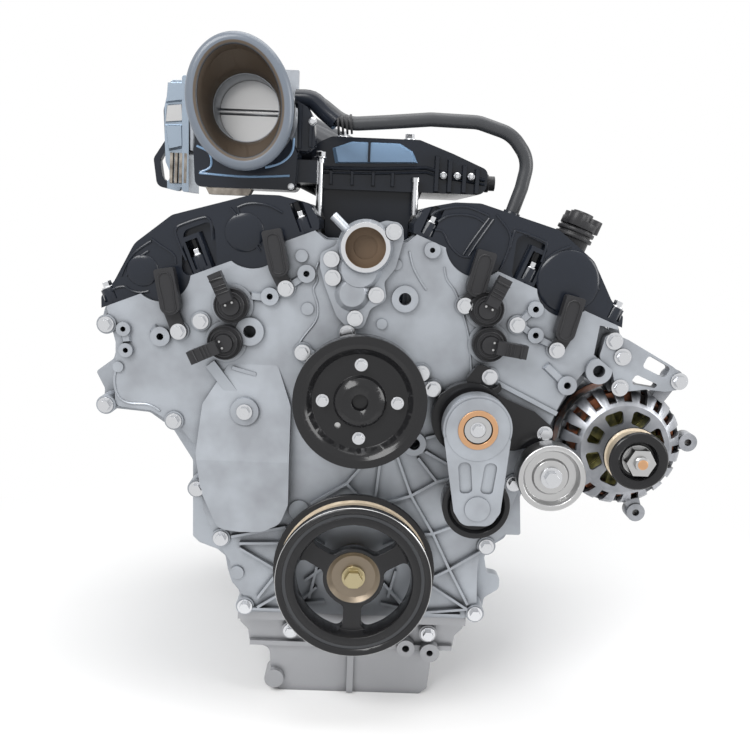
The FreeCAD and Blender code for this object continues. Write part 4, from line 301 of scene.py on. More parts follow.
NO_LOWER_BOUND = -1
OUTLET_RIM, OUTLET_BORE = -485.2, 22.3
HUB_MIDDLE = 30.5
SHAFT = 12
GEAR_LOOP_X = -239
DUCT_INNER = (48.5, 63)
DAMPER_GROOVES, DAMPER_DEPTHS = (80, 87.5), (-515, -487)
PULLEY_GROOVES, PULLEY_DEPTHS = (28, 32.2), (-512, -486)
VENT_DARK, VENT_LIGHT = (0.24, 0.25, 0.27), (0.40, 0.41, 0.44)
VARNISH_DARK, VARNISH_LIGHT = (0.10, 0.10, 0.05), (0.46, 0.42, 0.15)
TIN_DARK, TIN_LIGHT = (0.16, 0.14, 0.12), (0.34, 0.31, 0.27)
WINDING_GAP = (0.015, 0.012, 0.012)
# Brown of the bore, darkened as painted shade of its depth.
BORE_BROWN_AND_SHADE = (0.13, 0.085, 0.05)
# Grey metal tinted blue as a painted sky reflection.
GEAR_SKY_TINTED_GREY = (0.30, 0.36, 0.43)

# name, colour setting, roughness, metallic, specular, then the grain's size, depth and strength
PLAIN_FINISHES = {
    "gloss": ("gloss_black_moulding", "gloss_black", 0.2, 0.0, 0.32, (14, 0.25, 0.12)),
    "matt": ("matt_black_moulding", "soft_black", 0.4, 0.0, 0.3, (0.8, 0.05, 0.3)),
    "enamel": ("pulley_enamel", "enamel", 0.16, 0.0, 0.3, (3, 0.04, 0.2)),
    "bolt": ("bright_plating", "bolts", 0.2, 1.0, 0.5, (2, 0.05, 0.2)),
    "steel": ("turned_steel", "steel", 0.28, 1.0, 0.5, (1, 0.03, 0.2)),
    "bronze": ("bronze", "bronze", 0.3, 1.0, 0.5, (1, 0.03, 0.2)),
    "hose": ("hose_rubber_skin", "hose", 0.4, 0.0, 0.5, (1, 0.05, 0.3)),
    "brass": ("dull_brass", "brass", 0.32, 1.0, 0.5, (1, 0.05, 0.3)),
    # The sheen finish is a painted sky reflection.
    "sheen": ("painted_sky_reflection", "sky_sheen", 0.18, 0.0, 0.5, (18, 0.4, 0.15)),
}


def cast_finish():
    material = new_finish("cast_aluminium_skin", colours().casting, 0.42, 0.6)
    mottle(material, colours().casting_dark, colours().casting, 0.05, 0.3, 0.62)
    # Painted shade: darkens the casting where its faces meet in a corner.
    painted_crevice_shade(material, 18, 0.16)
    grain(material, 1.6, 0.25, 0.35)
    return material


def outlet_finish():
    """The outlet's casting: a brown bore darkened with painted shade, behind a bright rim."""
    material = cast_finish()
    tree = material.node_tree
    reach = distance_from_axis(tree, 0, OUTLET_Z)
    front = between(tree, place_along(tree, 1), NO_LOWER_BOUND, OUTLET_RIM * MM)
    zone(material, front, skin(colours().bolts, 0.25, 1.0))
    # Brown tone and painted shade: the bore is coloured dark brown as if deep.
    bore = between(tree, reach, NO_LOWER_BOUND, OUTLET_BORE * MM)
    zone(material, bore, skin(BORE_BROWN_AND_SHADE, 0.5, 0.2))
    return material


def vent_finish():
    """The alternator's castings, with painted shade between their fins."""
    material = new_finish("alternator_casting", VENT_LIGHT, 0.36, 0.7)
    mottle(material, VENT_DARK, VENT_LIGHT, 0.03)
    # Painted shade, nearly black, deep between the fins.
    painted_crevice_shade(material, 26, 0.02)
    grain(material, 1.6, 0.25, 0.35)
    return material


def rotor_finish():
    """Yellow varnish on the rotor's wire and fan, bare steel on its shaft."""
    material = new_finish("rotor_varnish", VARNISH_LIGHT, 0.35, 0.6)
    mottle(material, VARNISH_DARK, VARNISH_LIGHT, 0.012)
    tree = material.node_tree
    reach = distance_from_axis(tree, ALTERNATOR_X, ALTERNATOR_Z)
    shaft = between(tree, reach, NO_LOWER_BOUND, SHAFT * MM)
    zone(material, shaft, skin(colours().steel, 0.28, 1.0))
    return material


def pan_finish():
    material = new_finish("pan_skin", colours().pan, 0.36, 0.6)
    # Painted shade where the pan's faces meet in a corner.
    painted_crevice_shade(material, 14, 0.35)
    grain(material, 1.2, 0.1, 0.2)
    return material


def rim_finish():
    """Black enamel with the worn grooves of the belt."""
    material = new_finish("damper_enamel", colours().enamel, 0.16, specular=0.3)
    grain(material, 3, 0.04, 0.2)
    reach = distance_from_axis(material.node_tree, 0, 0)
    worn_grooves(material, (reach, *DAMPER_GROOVES), DAMPER_DEPTHS,
                 skin(colours().groove_band, 0.45, 0.3))
    return material


def spoke_finish():
    """Black enamel round a bare iron middle."""
    material = new_finish("spoke_enamel", colours().enamel, 0.2, specular=0.3)
    grain(material, 2, 0.3, 0.3)
    tree = material.node_tree
    bare = between(tree, distance_from_axis(tree, 0, 0), NO_LOWER_BOUND, HUB_MIDDLE * MM)
    zone(material, bare, skin(colours().hub, 0.4, 0.8))
    return material


def pulley_finish():
    """Black enamel with worn brass-toned belt grooves."""
    material = new_finish("alternator_enamel", colours().enamel, 0.16, specular=0.3)
    reach = distance_from_axis(material.node_tree, ALTERNATOR_X, ALTERNATOR_Z)
    worn_grooves(material, (reach, *PULLEY_GROOVES), PULLEY_DEPTHS,
                 skin(colours().groove_band, 0.35, 0.5))
    return material


def gear_finish():
    """Grey metal tinted blue by a painted sky reflection, with the black loop low on its outer
    side.
    """
    material = new_finish("gear_cover_sky_tinted", GEAR_SKY_TINTED_GREY, 0.25, 0.7)
    tree = material.node_tree
    loop = between(tree, place_along(tree, 0), NO_LOWER_BOUND, GEAR_LOOP_X * MM)
    zone(material, loop, skin(colours().gloss_black, 0.25, 0.0, 0.3))
    return material


def copper_finish():
    """Varnished wire with dark gaps."""
    material = new_finish("winding_varnish", colours().copper, 0.4, 0.4)
    mottle(material, WINDING_GAP, colours().copper, 0.022, 0.42, 0.6)
    grain(material, 1.5, 0.4, 0.8)
    return material


def duct_finish():
    """Rubber, darker and browner on its inner wall."""
    material = new_finish("duct_rubber_skin", colours().duct, 0.26, specular=0.4)
    grain(material, 6, 0.1, 0.2)
    tree = material.node_tree
    half_wide, half_tall = DUCT_INNER
    reach = oval_reach(tree, (DUCT_X * MM, 0, DUCT_Z * MM), DUCT_LEAN, half_wide * MM,
                       half_tall * MM)
    zone(material, between(tree, reach, NO_LOWER_BOUND, 1), skin(colours().duct_inside, 0.55))
    return material


def tin_finish():
    """Dull sheet metal, a little brown."""
    material = new_finish("dull_sheet", TIN_LIGHT, 0.4, 0.8)
    mottle(material, TIN_DARK, TIN_LIGHT, 0.01)
    return material


def plain_finish(name):
    label, colour, roughness, metallic, specular, rough_skin = PLAIN_FINISHES[name]
    material = new_finish(label, getattr(colours(), colour), roughness, metallic, specular)
    grain(material, *rough_skin)
    return material


SPECIAL_FINISHES = {
    "cast": cast_finish, "pan": pan_finish, "copper": copper_finish, "duct": duct_finish,
    "rim": rim_finish, "spoke": spoke_finish, "pulley": pulley_finish, "gear": gear_finish,
    "outlet": outlet_finish, "vent": vent_finish, "rotor": rotor_finish, "tin": tin_finish,
}
FINISHES = {}


def finish(name):
    """Makes each finish once."""
    if name not in FINISHES:
        special = SPECIAL_FINISHES.get(name)
        FINISHES[name] = special() if special else plain_finish(name)
    return FINISHES[name]


# Edges and skins of the solid pieces

SEAM = 0.01
FLAT_ANGLE = 0.5
EDGE_ANGLE = 32
EDGE_SEGMENTS = 2


def soften(solid, width):
    """Rounds the sharp edges of a piece without touching its own mesh."""
    weld = solid.modifiers.new("close_seams", "WELD")
    weld.merge_threshold = SEAM * MM
    flat = solid.modifiers.new("flat_faces", "DECIMATE")
    flat.decimate_type = "DISSOLVE"
    flat.angle_limit = math.radians(FLAT_ANGLE)
    edge = solid.modifiers.new("rounded_edges", "BEVEL")
    edge.width = width
    edge.segments = EDGE_SEGMENTS
    edge.limit_method = "ANGLE"
    edge.angle_limit = math.radians(EDGE_ANGLE)
    edge.harden_normals = True
    edge.miter_outer = "MITER_ARC"


def dress(names, finish_name, width=None):
    """Gives solid pieces a finish and soft edges."""
    for name in names:
        solid = NODES[name]
        solid.data.materials.clear()
        solid.data.materials.append(finish(finish_name))
        if width:
            soften(solid, width)


# Ways of making a fine piece; places are in millimetres and turn into metres in piece

SMOOTH_ANGLE = 40
TIP = 0.02
POINTED = 0.01
DOME_STEPS = 7
RIDGE_DRAFT = 0.6


def piece(name, points, faces, finish_name, body="engine"):
    """A named mesh that moves with a body."""
    mesh = bpy.data.meshes.new(name)
    mesh.from_pydata([[MM * part for part in point] for point in points], [], faces)
    work = bmesh.new()
    work.from_mesh(mesh)
    bmesh.ops.recalc_face_normals(work, faces=work.faces)
    work.to_mesh(mesh)
    work.free()
    for polygon in mesh.polygons:
        polygon.use_smooth = True
    mesh.set_sharp_from_angle(angle=math.radians(SMOOTH_ANGLE))
    mesh.materials.append(finish(finish_name))
    obj = bpy.data.objects.new(name, mesh)
    bpy.context.scene.collection.objects.link(obj)
    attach(obj, body)


def merged(parts):
    """One list of points and faces from several."""
    points = []
    faces = []
    for more_points, more_faces in parts:
        start = len(points)
        points += more_points
        faces += [[start + index for index in face] for face in more_faces]
    return points, faces


def curved(points, closed=False, steps=5):
    """Points along a smooth line through the given ones."""
    spots = [Vector(point) for point in points]
    count = len(spots)
    line = []
    for index in range(count if closed else count - 1):
        if closed:
            a, b, c, d = (spots[(index + step) % count] for step in (-1, 0, 1, 2))
        else:
            a, b, c, d = (spots[min(max(index + step, 0), count - 1)] for step in (-1, 0, 1, 2))
        for step in range(steps):
            t = step / steps
            line.append(0.5 * (2 * b + (c - a) * t + (2 * a - 5 * b + 4 * c - d) * t * t
                               + (3 * b - a - 3 * c + d) * t ** 3))
    if not closed:
        line.append(spots[-1])
    return line


def circle_of(middle, across, upward, radius, sides):
    """Points round a circle that two directions span."""
    turns = [2 * math.pi * side / sides for side in range(sides)]
    return [list(middle + (across * math.cos(turn) + upward * math.sin(turn)) * radius)
            for turn in turns]


def joined_rings(count, sides, closed=False):
    """Faces between rings of points that follow one another."""
    faces = []
    for index in range(count if closed else count - 1):
        here = index * sides
        there = ((index + 1) % count) * sides
        for side in range(sides):
            following = (side + 1) % sides
            faces.append([here + side, here + following, there + following, there + side])
    return faces


def ring_cap(index, sides):
    return [index * sides + side for side in range(sides)]


def tube(points, radius, closed=False, sides=8):
    """A round bar along a line of points."""
    line = [Vector(point) for point in points]
    count = len(line)
    points_out = []
    across = None
    for index, spot in enumerate(line):
        before = line[index - 1] if index or closed else spot
        after = line[(index + 1) % count] if index < count - 1 or closed else spot
        ahead = (after - before).normalized()
        if across is None:
            across = ahead.orthogonal().normalized()
        across = (across - ahead * across.dot(ahead)).normalized()
        points_out += circle_of(spot, across, ahead.cross(across), radius, sides)
    faces = joined_rings(count, sides, closed)
    if not closed:
        faces += [ring_cap(0, sides), ring_cap(count - 1, sides)]
    return points_out, faces


def spun(profile, centre, along=ALONG_Y, sides=48):
    """A turned form: profile holds (radius, distance along the axis) pairs."""
    axis = Vector(along).normalized()
    across = axis.orthogonal().normalized()
    upward = axis.cross(across)
    points = []
    for radius, reach in profile:
        points += circle_of(Vector(centre) + axis * reach, across, upward, radius, sides)
    faces = joined_rings(len(profile), sides)
    for index in (0, len(profile) - 1):
        if profile[index][0] > POINTED:
            faces.append(ring_cap(index, sides))
    return points, faces


def dome_profile(radius, rise, lip):
    """A low dome from its rim to its crown, as (radius, distance) pairs towards -Y."""
    profile = [(radius, lip)]
    for step in range(DOME_STEPS + 1):
        turn = math.pi / 2 * step / DOME_STEPS
        profile.append((max(radius * math.cos(turn), TIP), -rise * math.sin(turn)))
    return profile


def plate(corners, front, rear, taper=0.0):
    """A flat plate from (x, z) corners; the front is drawn in by the taper."""
    count = len(corners)
    middle = Vector((sum(c[0] for c in corners), sum(c[1] for c in corners))) / count
    near = []
    for x, z in corners:
        inward = (middle - Vector((x, z))).normalized() * taper
        near.append([x + inward.x, front, z + inward.y])
    points = near + [[x, rear, z] for x, z in corners]
    faces = [list(range(count)), list(range(count, 2 * count))]
    faces += [[k, (k + 1) % count, count + (k + 1) % count, count + k] for k in range(count)]
    return points, faces


def ridge(start, end, half, front, rear):
    """A straight cast rib between two (x, z) places, narrower at its crest."""
    a, b = Vector(start), Vector(end)
    way = (b - a).normalized()
    side = Vector((-way.y, way.x))
    foot = half * (1 + RIDGE_DRAFT)
    points = []
    for y, wide, back in ((front, half, 0), (rear, foot, foot - half)):
        low, high = a - way * back, b + way * back
        for spot, sign in ((low, 1), (high, 1), (high, -1), (low, -1)):
            place = spot + side * wide * sign
            points.append([place.x, y, place.y])
    faces = [[0, 1, 2, 3], [4, 5, 6, 7]]
    faces += [[k, (k + 1) % 4, 4 + (k + 1) % 4, 4 + k] for k in range(4)]
    return points, faces


def on_face(points, y):
    return [(x, y, z) for x, z in points]


def oval_loop(centre, half_wide, half_tall, count, lean=0.0):
    """Points round an upright oval whose top leans to -X."""
    x, y, z = centre
    loop = []
    for step in range(count):
        turn = 2 * math.pi * step / count
        wide, tall = half_wide * math.cos(turn), half_tall * math.sin(turn)
        loop.append((x + wide * math.cos(lean) - tall * math.sin(lean), y,
                     z + wide * math.sin(lean) + tall * math.cos(lean)))
    return loop


def bolt_head(place, way, across, height, flange):
    """A flanged hexagon head that stands on a place."""
    skirt = [(flange, 0), (flange, 1.2), (across / 2 + 0.6, 2.2)]
    hexagon = [(across / 1.73, 1.5), (across / 1.73, height - 0.8), (across / 2 - 0.3, height)]
    return merged([spun(skirt, place, way, 24), spun(hexagon, place, way, 6)])



# Castings, mouldings and turned pieces

class ENGINE_OT_castings(bpy.types.Operator):
    """Dress the block, heads and timing cover"""
    bl_idname = "engine.castings"
    bl_label = "Castings"

    def execute(self, context):
        edge = sizes().cast_edge
        dress(["engine_block", "cylinder_head_right", "cylinder_head_left", "timing_cover",
               "water_pump_housing", "rear_seal_housing", "throttle_body",
               "alternator_bracket"], "cast", edge)
        dress(["thermostat_housing"], "outlet", edge)
        dress(["oil_pan"], "pan", edge)
        dress(["pistons", "head_gaskets", "main_bearing_caps", "spark_plugs"], "steel")
        return {"FINISHED"}


SKIRT, WAIST = 155, 190
SIDE_RIB_THICK = 6
SIDE_RIBS = (-310, -208, -106)
SIDE_RIB = [(SKIRT - 3, -36), (SKIRT + 6, 4), (WAIST + 5, 26), (WAIST + 5, 72), (WAIST - 6, 76),
            (WAIST - 6, 20), (SKIRT - 8, 0)]
MOUNT_BOSSES = [(-262, 34), (-262, 64), (-158, 34), (-158, 64)]
MOUNT_BOSS = [(13, 9), (13, -7), (12, -8), (5.5, -8), (5.5, 4), (TIP, 4)]


class ENGINE_OT_block_work(bpy.types.Operator):
    """Add the ribs and bosses of the block's sides"""
    bl_idname = "engine.block_work"
    bl_label = "Block ribs and bosses"

    def execute(self, context):
        for side, sign in (("right", 1), ("left", -1)):
            outline = [(sign * x, z) for x, z in SIDE_RIB]
            ribs = [plate(outline, y, y + SIDE_RIB_THICK) for y in SIDE_RIBS]
            piece("block_ribs_" + side, *merged(ribs), "cast")
            bosses = [spun(MOUNT_BOSS, (sign * WAIST, y, z), (-sign, 0, 0), 32)
                      for y, z in MOUNT_BOSSES]
            piece("mount_bosses_" + side, *merged(bosses), "cast")
        return {"FINISHED"}


class ENGINE_OT_mouldings(bpy.types.Operator):
    """Dress the cam covers, intake and plugs"""
    bl_idname = "engine.mouldings"
    bl_label = "Mouldings"

    def execute(self, context):
        edge = sizes().turned_edge
        dress(["cam_cover_right", "cam_cover_left", "intake_manifold"], "gloss",
              sizes().moulded_edge)
        dress(["ignition_coils", "cam_position_sensors", "oil_filler_neck", "oil_filler_cap",
               "phaser_solenoids"], "matt", edge)
        dress(["throttle_gear_cover"], "gear", edge)
        dress(["air_duct"], "duct", edge)
        dress(["breather_hose"], "hose")
        return {"FINISHED"}


class ENGINE_OT_belt_drive(bpy.types.Operator):
    """Dress the damper, pulleys and tensioner"""
    bl_idname = "engine.belt_drive"
    bl_label = "Belt drive"

    def execute(self, context):
        edge = sizes().turned_edge
        dress(["water_pump_pulley", "tensioner_base", "tensioner_pulley"], "enamel", edge)
        dress(["damper_rim"], "rim", edge)
        dress(["damper_hub"], "spoke", edge)
        dress(["damper_isolator"], "hose")
        dress(["tensioner_arm"], "cast", edge)
        dress(["tensioner_bush"], "bronze", edge)
        dress(["crank_bolt"], "brass", edge)
        dress(["idler_pulley", "water_pump_rotor"], "steel", edge)
        return {"FINISHED"}


SHAFT_END = [(5.6, 0.3), (5.6, -0.3), (4.6, -0.8), (TIP, -0.8)]


class ENGINE_OT_alternator(bpy.types.Operator):
    """Dress the alternator and add the end of its shaft"""
    bl_idname = "engine.alternator"
    bl_label = "Alternator"

    def execute(self, context):
        edge = sizes().turned_edge
        dress(["alternator_front_housing", "alternator_rear_housing"], "vent", edge)
        dress(["alternator_stator"], "copper")
        dress(["alternator_nut"], "steel", edge)
        dress(["alternator_rotor"], "rotor", edge)
        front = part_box("alternator_rotor")[0].y / MM
        piece("alternator_shaft_end", *spun(SHAFT_END, (ALTERNATOR_X, front, ALTERNATOR_Z)),
              "bronze", "alternator")
        dress(["alternator_pulley"], "pulley", edge)
        return {"FINISHED"}


class ENGINE_OT_fasteners(bpy.types.Operator):
    """Dress the bolts, chains and inner shafts"""
    bl_idname = "engine.fasteners"
    bl_label = "Fasteners and shafts"

    def execute(self, context):
        dress(["front_bolts", "pivot_bolts", "water_pump_pulley_bolts", "cam_cover_bolts",
               "intake_manifold_bolts", "oil_pan_bolts", "oil_drain_plug"], "bolt",
              sizes().turned_edge)
        inner = [name for name in NODES
                 if name.startswith(("camshaft", "relay", "timing_chain", "crank_s"))]
        dress(inner + ["crankshaft", "throttle_plate"], "steel")
        return {"FINISHED"}


# Cam covers and timing cover; lines are (x, z) places on a face

COVER_FACE = -455.4
BEAD = 1.5
COVER_BEADS = {
    "left_outer_crescent": [(-274, 331), (-268, 345), (-260, 356), (-249, 365), (-240, 371)],
    "left_inner_crescent": [(-268, 331), (-262, 343), (-253, 353), (-243, 360)],
    "left_low_wave": [(-284, 315), (-278, 318), (-270, 319), (-263, 315), (-253, 313),
                      (-243, 315)],
    "left_slant": [(-240, 374), (-230, 367), (-215, 357), (-213, 347)],
    "left_pocket_frame": [(-201, 351), (-212, 377), (-212, 386), (-205, 391), (-183, 399),
                          (-176, 398), (-173, 391), (-172, 375)],
    "left_long_slant": [(-152, 411), (-145, 403), (-132, 384), (-118, 365)],
    "left_hollow_edge": [(-144, 412), (-140, 397), (-128, 380), (-117, 371)],
    "left_top_arc": [(-144, 412), (-134, 416), (-122, 417), (-108, 415), (-94, 408)],
    "right_outer_arc": [(72, 412), (81, 418), (98, 422), (114, 422), (136, 414)],
    "right_inner_arc": [(80, 405), (91, 412), (106, 414), (121, 412), (132, 406)],
    "right_loop": [(77, 396), (86, 394), (94, 380), (106, 369), (118, 367)],
    "right_double_slant_1": [(110, 369), (120, 386), (137, 411)],
    "right_double_slant_2": [(116, 368), (126, 385), (142, 410)],
    "right_upright": [(145, 415), (161, 395), (160, 375), (152, 354)],
    "right_pocket_frame": [(162, 379), (166, 397), (172, 398), (199, 389), (203, 383),
                           (199, 365)],
    "right_slant": [(204, 368), (215, 377), (231, 384)],
    "right_crescent_1": [(236, 371), (250, 364), (260, 351), (266, 336)],
    "right_crescent_2": [(236, 365), (247, 358), (255, 347), (260, 335)],
}
COVER_DOMES = [("right_cover_dome", 231, 344, 36, 5.0), ("left_cover_dome", -136, 385, 22, 3.0),
               ("left_cover_end_dome", -250, 338, 18, 3.0)]
COVER_WALL = -460
COVER_CONTOURS = {
    "valley_left": [(-52, 355), (-55, 345), (-53, 335), (-57, 324), (-52, 307), (-53, 290),
                    (-67, 270), (-76, 255)],
    "left_outer": [(-278, 231), (-282, 212), (-278, 194), (-266, 186), (-244, 185),
                   (-230, 178)],
    "panel_right": [(89, 355), (93, 341), (103, 328), (113, 304), (121, 278), (125, 251),
                    (127, 235)],
    "valley_right": [(49, 371), (54, 354), (62, 340), (70, 329)],
}
COVER_WEBS = [
    ((-133, 315), (-106, 313)), ((-106, 313), (-88, 324)), ((-88, 324), (-65, 341)),
    ((-269, 272), (-266, 251)), ((-242, 278), (-227, 266)), ((195, 313), (176, 295)),
    ((176, 295), (197, 281)), ((198, 280), (222, 269)), ((207, 252), (236, 226)),
]
WEB_INSET, WEB_HALF, WEB_HEIGHT, WEB_SUNK = 7, 3.5, 4, 0.5


class ENGINE_OT_cover_work(bpy.types.Operator):
    """Add the beads and domes of the cam covers"""
    bl_idname = "engine.cover_work"
    bl_label = "Cam cover beads"

    def execute(self, context):
        for name, points in COVER_BEADS.items():
            line = curved(on_face(points, COVER_FACE))
            piece("cover_bead_" + name, *tube(line, BEAD), "gloss")
        for name, x, z, radius, rise in COVER_DOMES:
            profile = dome_profile(radius, rise, 1.0)
            piece(name, *spun(profile, (x, COVER_FACE, z)), "gloss")
        return {"FINISHED"}


class ENGINE_OT_timing_cover_work(bpy.types.Operator):
    """Add the cast contours and webs of the timing cover"""
    bl_idname = "engine.timing_cover_work"
    bl_label = "Timing cover contours"

    def execute(self, context):
        for name, points in COVER_CONTOURS.items():
            line = curved(on_face(points, COVER_WALL))
            piece("cover_contour_" + name, *tube(line, BEAD), "cast")
        webs = []
        for start, end in COVER_WEBS:
            near, far = Vector(start), Vector(end)
            inset = (far - near).normalized() * WEB_INSET
            webs.append(ridge(near + inset, far - inset, WEB_HALF, COVER_WALL - WEB_HEIGHT,
                              COVER_WALL + WEB_SUNK))
        piece("cover_webs", *merged(webs), "cast")
        return {"FINISHED"}


# Solenoids and cam sensors

SOLENOID_PLACES = [(-147.5, 304, 115), (-154.5, 262, 205), (138, 310.5, 65), (144, 271, -8)]
SOLENOID_RINGS = ((18.6, -10.2, 1.1), (14.6, -15.1, 0.9), (11.2, -15.4, 0.7))
PLUG_FACE = -463
PLUG_MIDDLE = PLUG_FACE - 22.5
PLUG_CORNERS = ((-6.8, -7.8), (6.8, -7.8), (6.8, 7.8), (-6.8, 7.8))
PLUG_SEALS = ((17, 0.7), (21, 0.7), (25, 0.7), (33, 1.3))
PLUG_PINS = (-4, 4)
SENSOR_PLACES = [(-98.5, 364, -13), (-217.5, 317, -10), (128.5, 350, 14), (231, 303.5, 13)]
SENSOR_FACE = -478.2
SENSOR_OUTLINE = [(-6, -20), (0, -23), (6, -20), (6.5, -10), (6.5, 18), (-6.5, 18), (-6.5, -10)]


class ENGINE_OT_plug_work(bpy.types.Operator):
    """Add the seals and vents of the solenoids and the rims of the cam sensors"""
    bl_idname = "engine.plug_work"
    bl_label = "Solenoid and sensor detail"

    def execute(self, context):
        for number, (x, z, angle) in enumerate(SOLENOID_PLACES, 1):
            turn = math.radians(angle)
            way = Vector((math.cos(turn), 0, math.sin(turn)))
            across = Vector((-math.sin(turn), 0, math.cos(turn)))
            middle = Vector((x, PLUG_MIDDLE, z))
            rings = [tube(oval_loop((x, PLUG_FACE + y, z), radius, radius, 40), thick, True, 6)
                     for radius, y, thick in SOLENOID_RINGS]
            for reach, thick in PLUG_SEALS:
                loop = [middle + way * reach + across * a + Vector((0, b, 0))
                        for a, b in PLUG_CORNERS]
                rings.append(tube(loop, thick, True, 6))
            piece("solenoid_seals_%d" % number, *merged(rings), "matt")
            pins = []
            for a in PLUG_PINS:
                foot = middle + way * 3 + across * a
                pins.append(tube([foot + Vector((0, depth, 0)) for depth in (3.2, 1.6)], 1.3))
            piece("solenoid_vents_%d" % number, *merged(pins), "steel")
        for number, (x, z, lean) in enumerate(SENSOR_PLACES, 1):
            turn = math.radians(-lean)
            spots = [(x + a * math.cos(turn) - b * math.sin(turn), SENSOR_FACE,
                      z + a * math.sin(turn) + b * math.cos(turn)) for a, b in SENSOR_OUTLINE]
            rim = tube(curved(spots, True, 3), 1.0, True, 6)
            piece("sensor_rim_%d" % number, *rim, "matt")
        return {"FINISHED"}


# Pulleys

PUMP_HUB = [(27, 12), (26, 2), (24, -1), (20, -3.5), (14, -5), (7, -5.8), (TIP, -6)]
BRIGHT_RING, BRIGHT_RING_THICK, BRIGHT_RING_DEPTH = 88.2, 0.8, 2.0
WASHER = [(8.8, 0), (8.8, -2.4), (14.8, -2.4), (14.8, 0)]
WASHER_SEAT = -517


class ENGINE_OT_pulley_work(bpy.types.Operator):
    """Add the pump's hub dome, the damper's bright ring and the tensioner's washer"""
    bl_idname = "engine.pulley_work"
    bl_label = "Pulley detail"

    def execute(self, context):
        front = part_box("water_pump_rotor")[0].y / MM
        piece("pump_hub_dome", *spun(PUMP_HUB, (0, front, PUMP_Z)), "enamel", "pump")
        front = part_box("damper_rim")[0].y / MM
        ring = oval_loop((0, front + BRIGHT_RING_DEPTH, 0), BRIGHT_RING, BRIGHT_RING, 96)
        piece("damper_bright_ring", *tube(ring, BRIGHT_RING_THICK, True, 6), "steel", "crank")
        piece("tensioner_washer", *spun(WASHER, (TENSIONER_X, WASHER_SEAT, TENSIONER_Z)),
              "steel")
        return {"FINISHED"}


# Intake, hose, duct and throttle

PLENUM_FACE = -345
PLENUM_PANEL = [(-42, 471), (-46, 489), (-22, 498), (38, 498), (54, 489), (61, 475)]
PLENUM_FLANGE = [(-60, 465), (6, 466), (71, 470), (90, 465), (144, 458)]
PLENUM_SEAMS = ((1, 0, 2.4), (2, -5.5, 1.6))
TALL_RIBS = ((84, 484), (100, 480), (118, 474), (134, 470))
LOW_RIBS = (-46, -20, 6, 30)
NOZZLE = [(9, 0), (9, 10), (11, 10.5), (11, 14), (9, 15), (9, 22), (6, 22), (6, 4)]
NOZZLE_PLACE = (136, -330, 455)
POSTS = ((-59, 404, 470), (58, 412, 452))
POST_Y = -356
SMALL_BOLTS = [((-59, POST_Y, 476), UPWARD, 11, 8, 8), ((-66, -411, 512), FRONTWARD, 7, 4, 5),
               ((-88, -421, 438), FRONTWARD, 6, 3, 4)]
SMALL_BOLTS += [((x, PLENUM_FACE - 7, 461), FRONTWARD, 6, 4, 4.5) for x in (92, 109, 126)]
ELBOW = [(-87, -393, 539), (-68, -394, 538), (-52, -396, 525), (-38, -399, 514)]
CLAMP_RINGS = (-38, -33, -28, -23)
CLAMP_Y, CLAMP_Z = -400, 514.5
CLAMP_SLOPE = 0.1
CLAMP_WIDE, CLAMP_RISE, CLAMP_RADIUS = 2.4, 0.2, 11.2
SIDE_BLOCK = [(-84, 478), (-84, 536), (-72, 530), (-63, 515), (-61, 485), (-72, 477)]
SIDE_BLOCK_RIBS = (((-80, 482), (-80, 530)), ((-68, 484), (-68, 516)))
SADDLE_FACE = -422.3
SADDLE_BEADS = [[(-196, 479), (-182, 472), (-180, 457), (-192, 450)],
                [(-193, 449), (-140, 447), (-90, 450)],
                [(-118, 458), (-100, 464), (-88, 476), (-86, 492)]]
SADDLE_FOOT = [(-186, 433.5), (-182, 426), (-137, 426), (-133, 433.5)]
GEAR_COVER_FACE = -394.2
# The gear finish on the top and mid facets is tinted blue as a painted sky reflection.
THROTTLE_FACETS = [
    ("top", [(-235, 551), (-214, 552), (-214, 531), (-237, 528)], 4, 2, "gear"),
    ("light", [(-236, 526), (-218, 528), (-217, 508), (-238, 506)], 2, 1.5, "steel"),
    ("mid", [(-238, 504), (-217, 505), (-216, 478), (-234, 474)], 5, 3, "gear"),
]
FLUTES = (-231, -225.5, -220, -214.5)
SIDE_PIPE = [(-206, -393, 548), (-206, -395, 530), (-205, -395, 490), (-206, -393, 476)]
DUCT_LIP = (46.5, 61)
DUCT_LIP_Y = -466.5


def plenum_trim():
    """The plenum's panel, seams, ribs, nozzle, posts and small bolts."""
    # Painted sky reflection: the raised panel wears the blue sheen finish.
    piece("plenum_reflection_panel", *plate(PLENUM_PANEL, PLENUM_FACE - 6, PLENUM_FACE + 1, 5), "sheen")
    for number, level, thick in PLENUM_SEAMS:
        line = [(x, PLENUM_FACE - 1, z + level) for x, z in PLENUM_FLANGE]
        piece("plenum_seam_%d" % number, *tube(line, thick), "gloss")
    ribs = [ridge((x, 442), (x, top), 2.2, PLENUM_FACE - 7, PLENUM_FACE + 1)
            for x, top in TALL_RIBS]
    ribs += [ridge((x, 446), (x, 462), 1.6, PLENUM_FACE - 4, PLENUM_FACE + 1) for x in LOW_RIBS]
    ribs.append(ridge((0, 474), (0, 499), 1.4, PLENUM_FACE - 7.5, PLENUM_FACE))
    piece("plenum_ribs", *merged(ribs), "gloss")
    piece("plenum_nozzle", *spun(NOZZLE, NOZZLE_PLACE, (1, 0, 0)), "matt")
    posts = []
    for x, low, high in POSTS:
        tall = high - low
        profile = [(4.2, 0), (4.2, tall), (5.4, tall), (5.4, tall + 5)]
        posts.append(spun(profile, (x, POST_Y, low), UPWARD, 24))
    piece("intake_posts", *merged(posts), "bolt")
    piece("intake_small_bolts", *merged([bolt_head(*bolt) for bolt in SMALL_BOLTS]), "bolt")


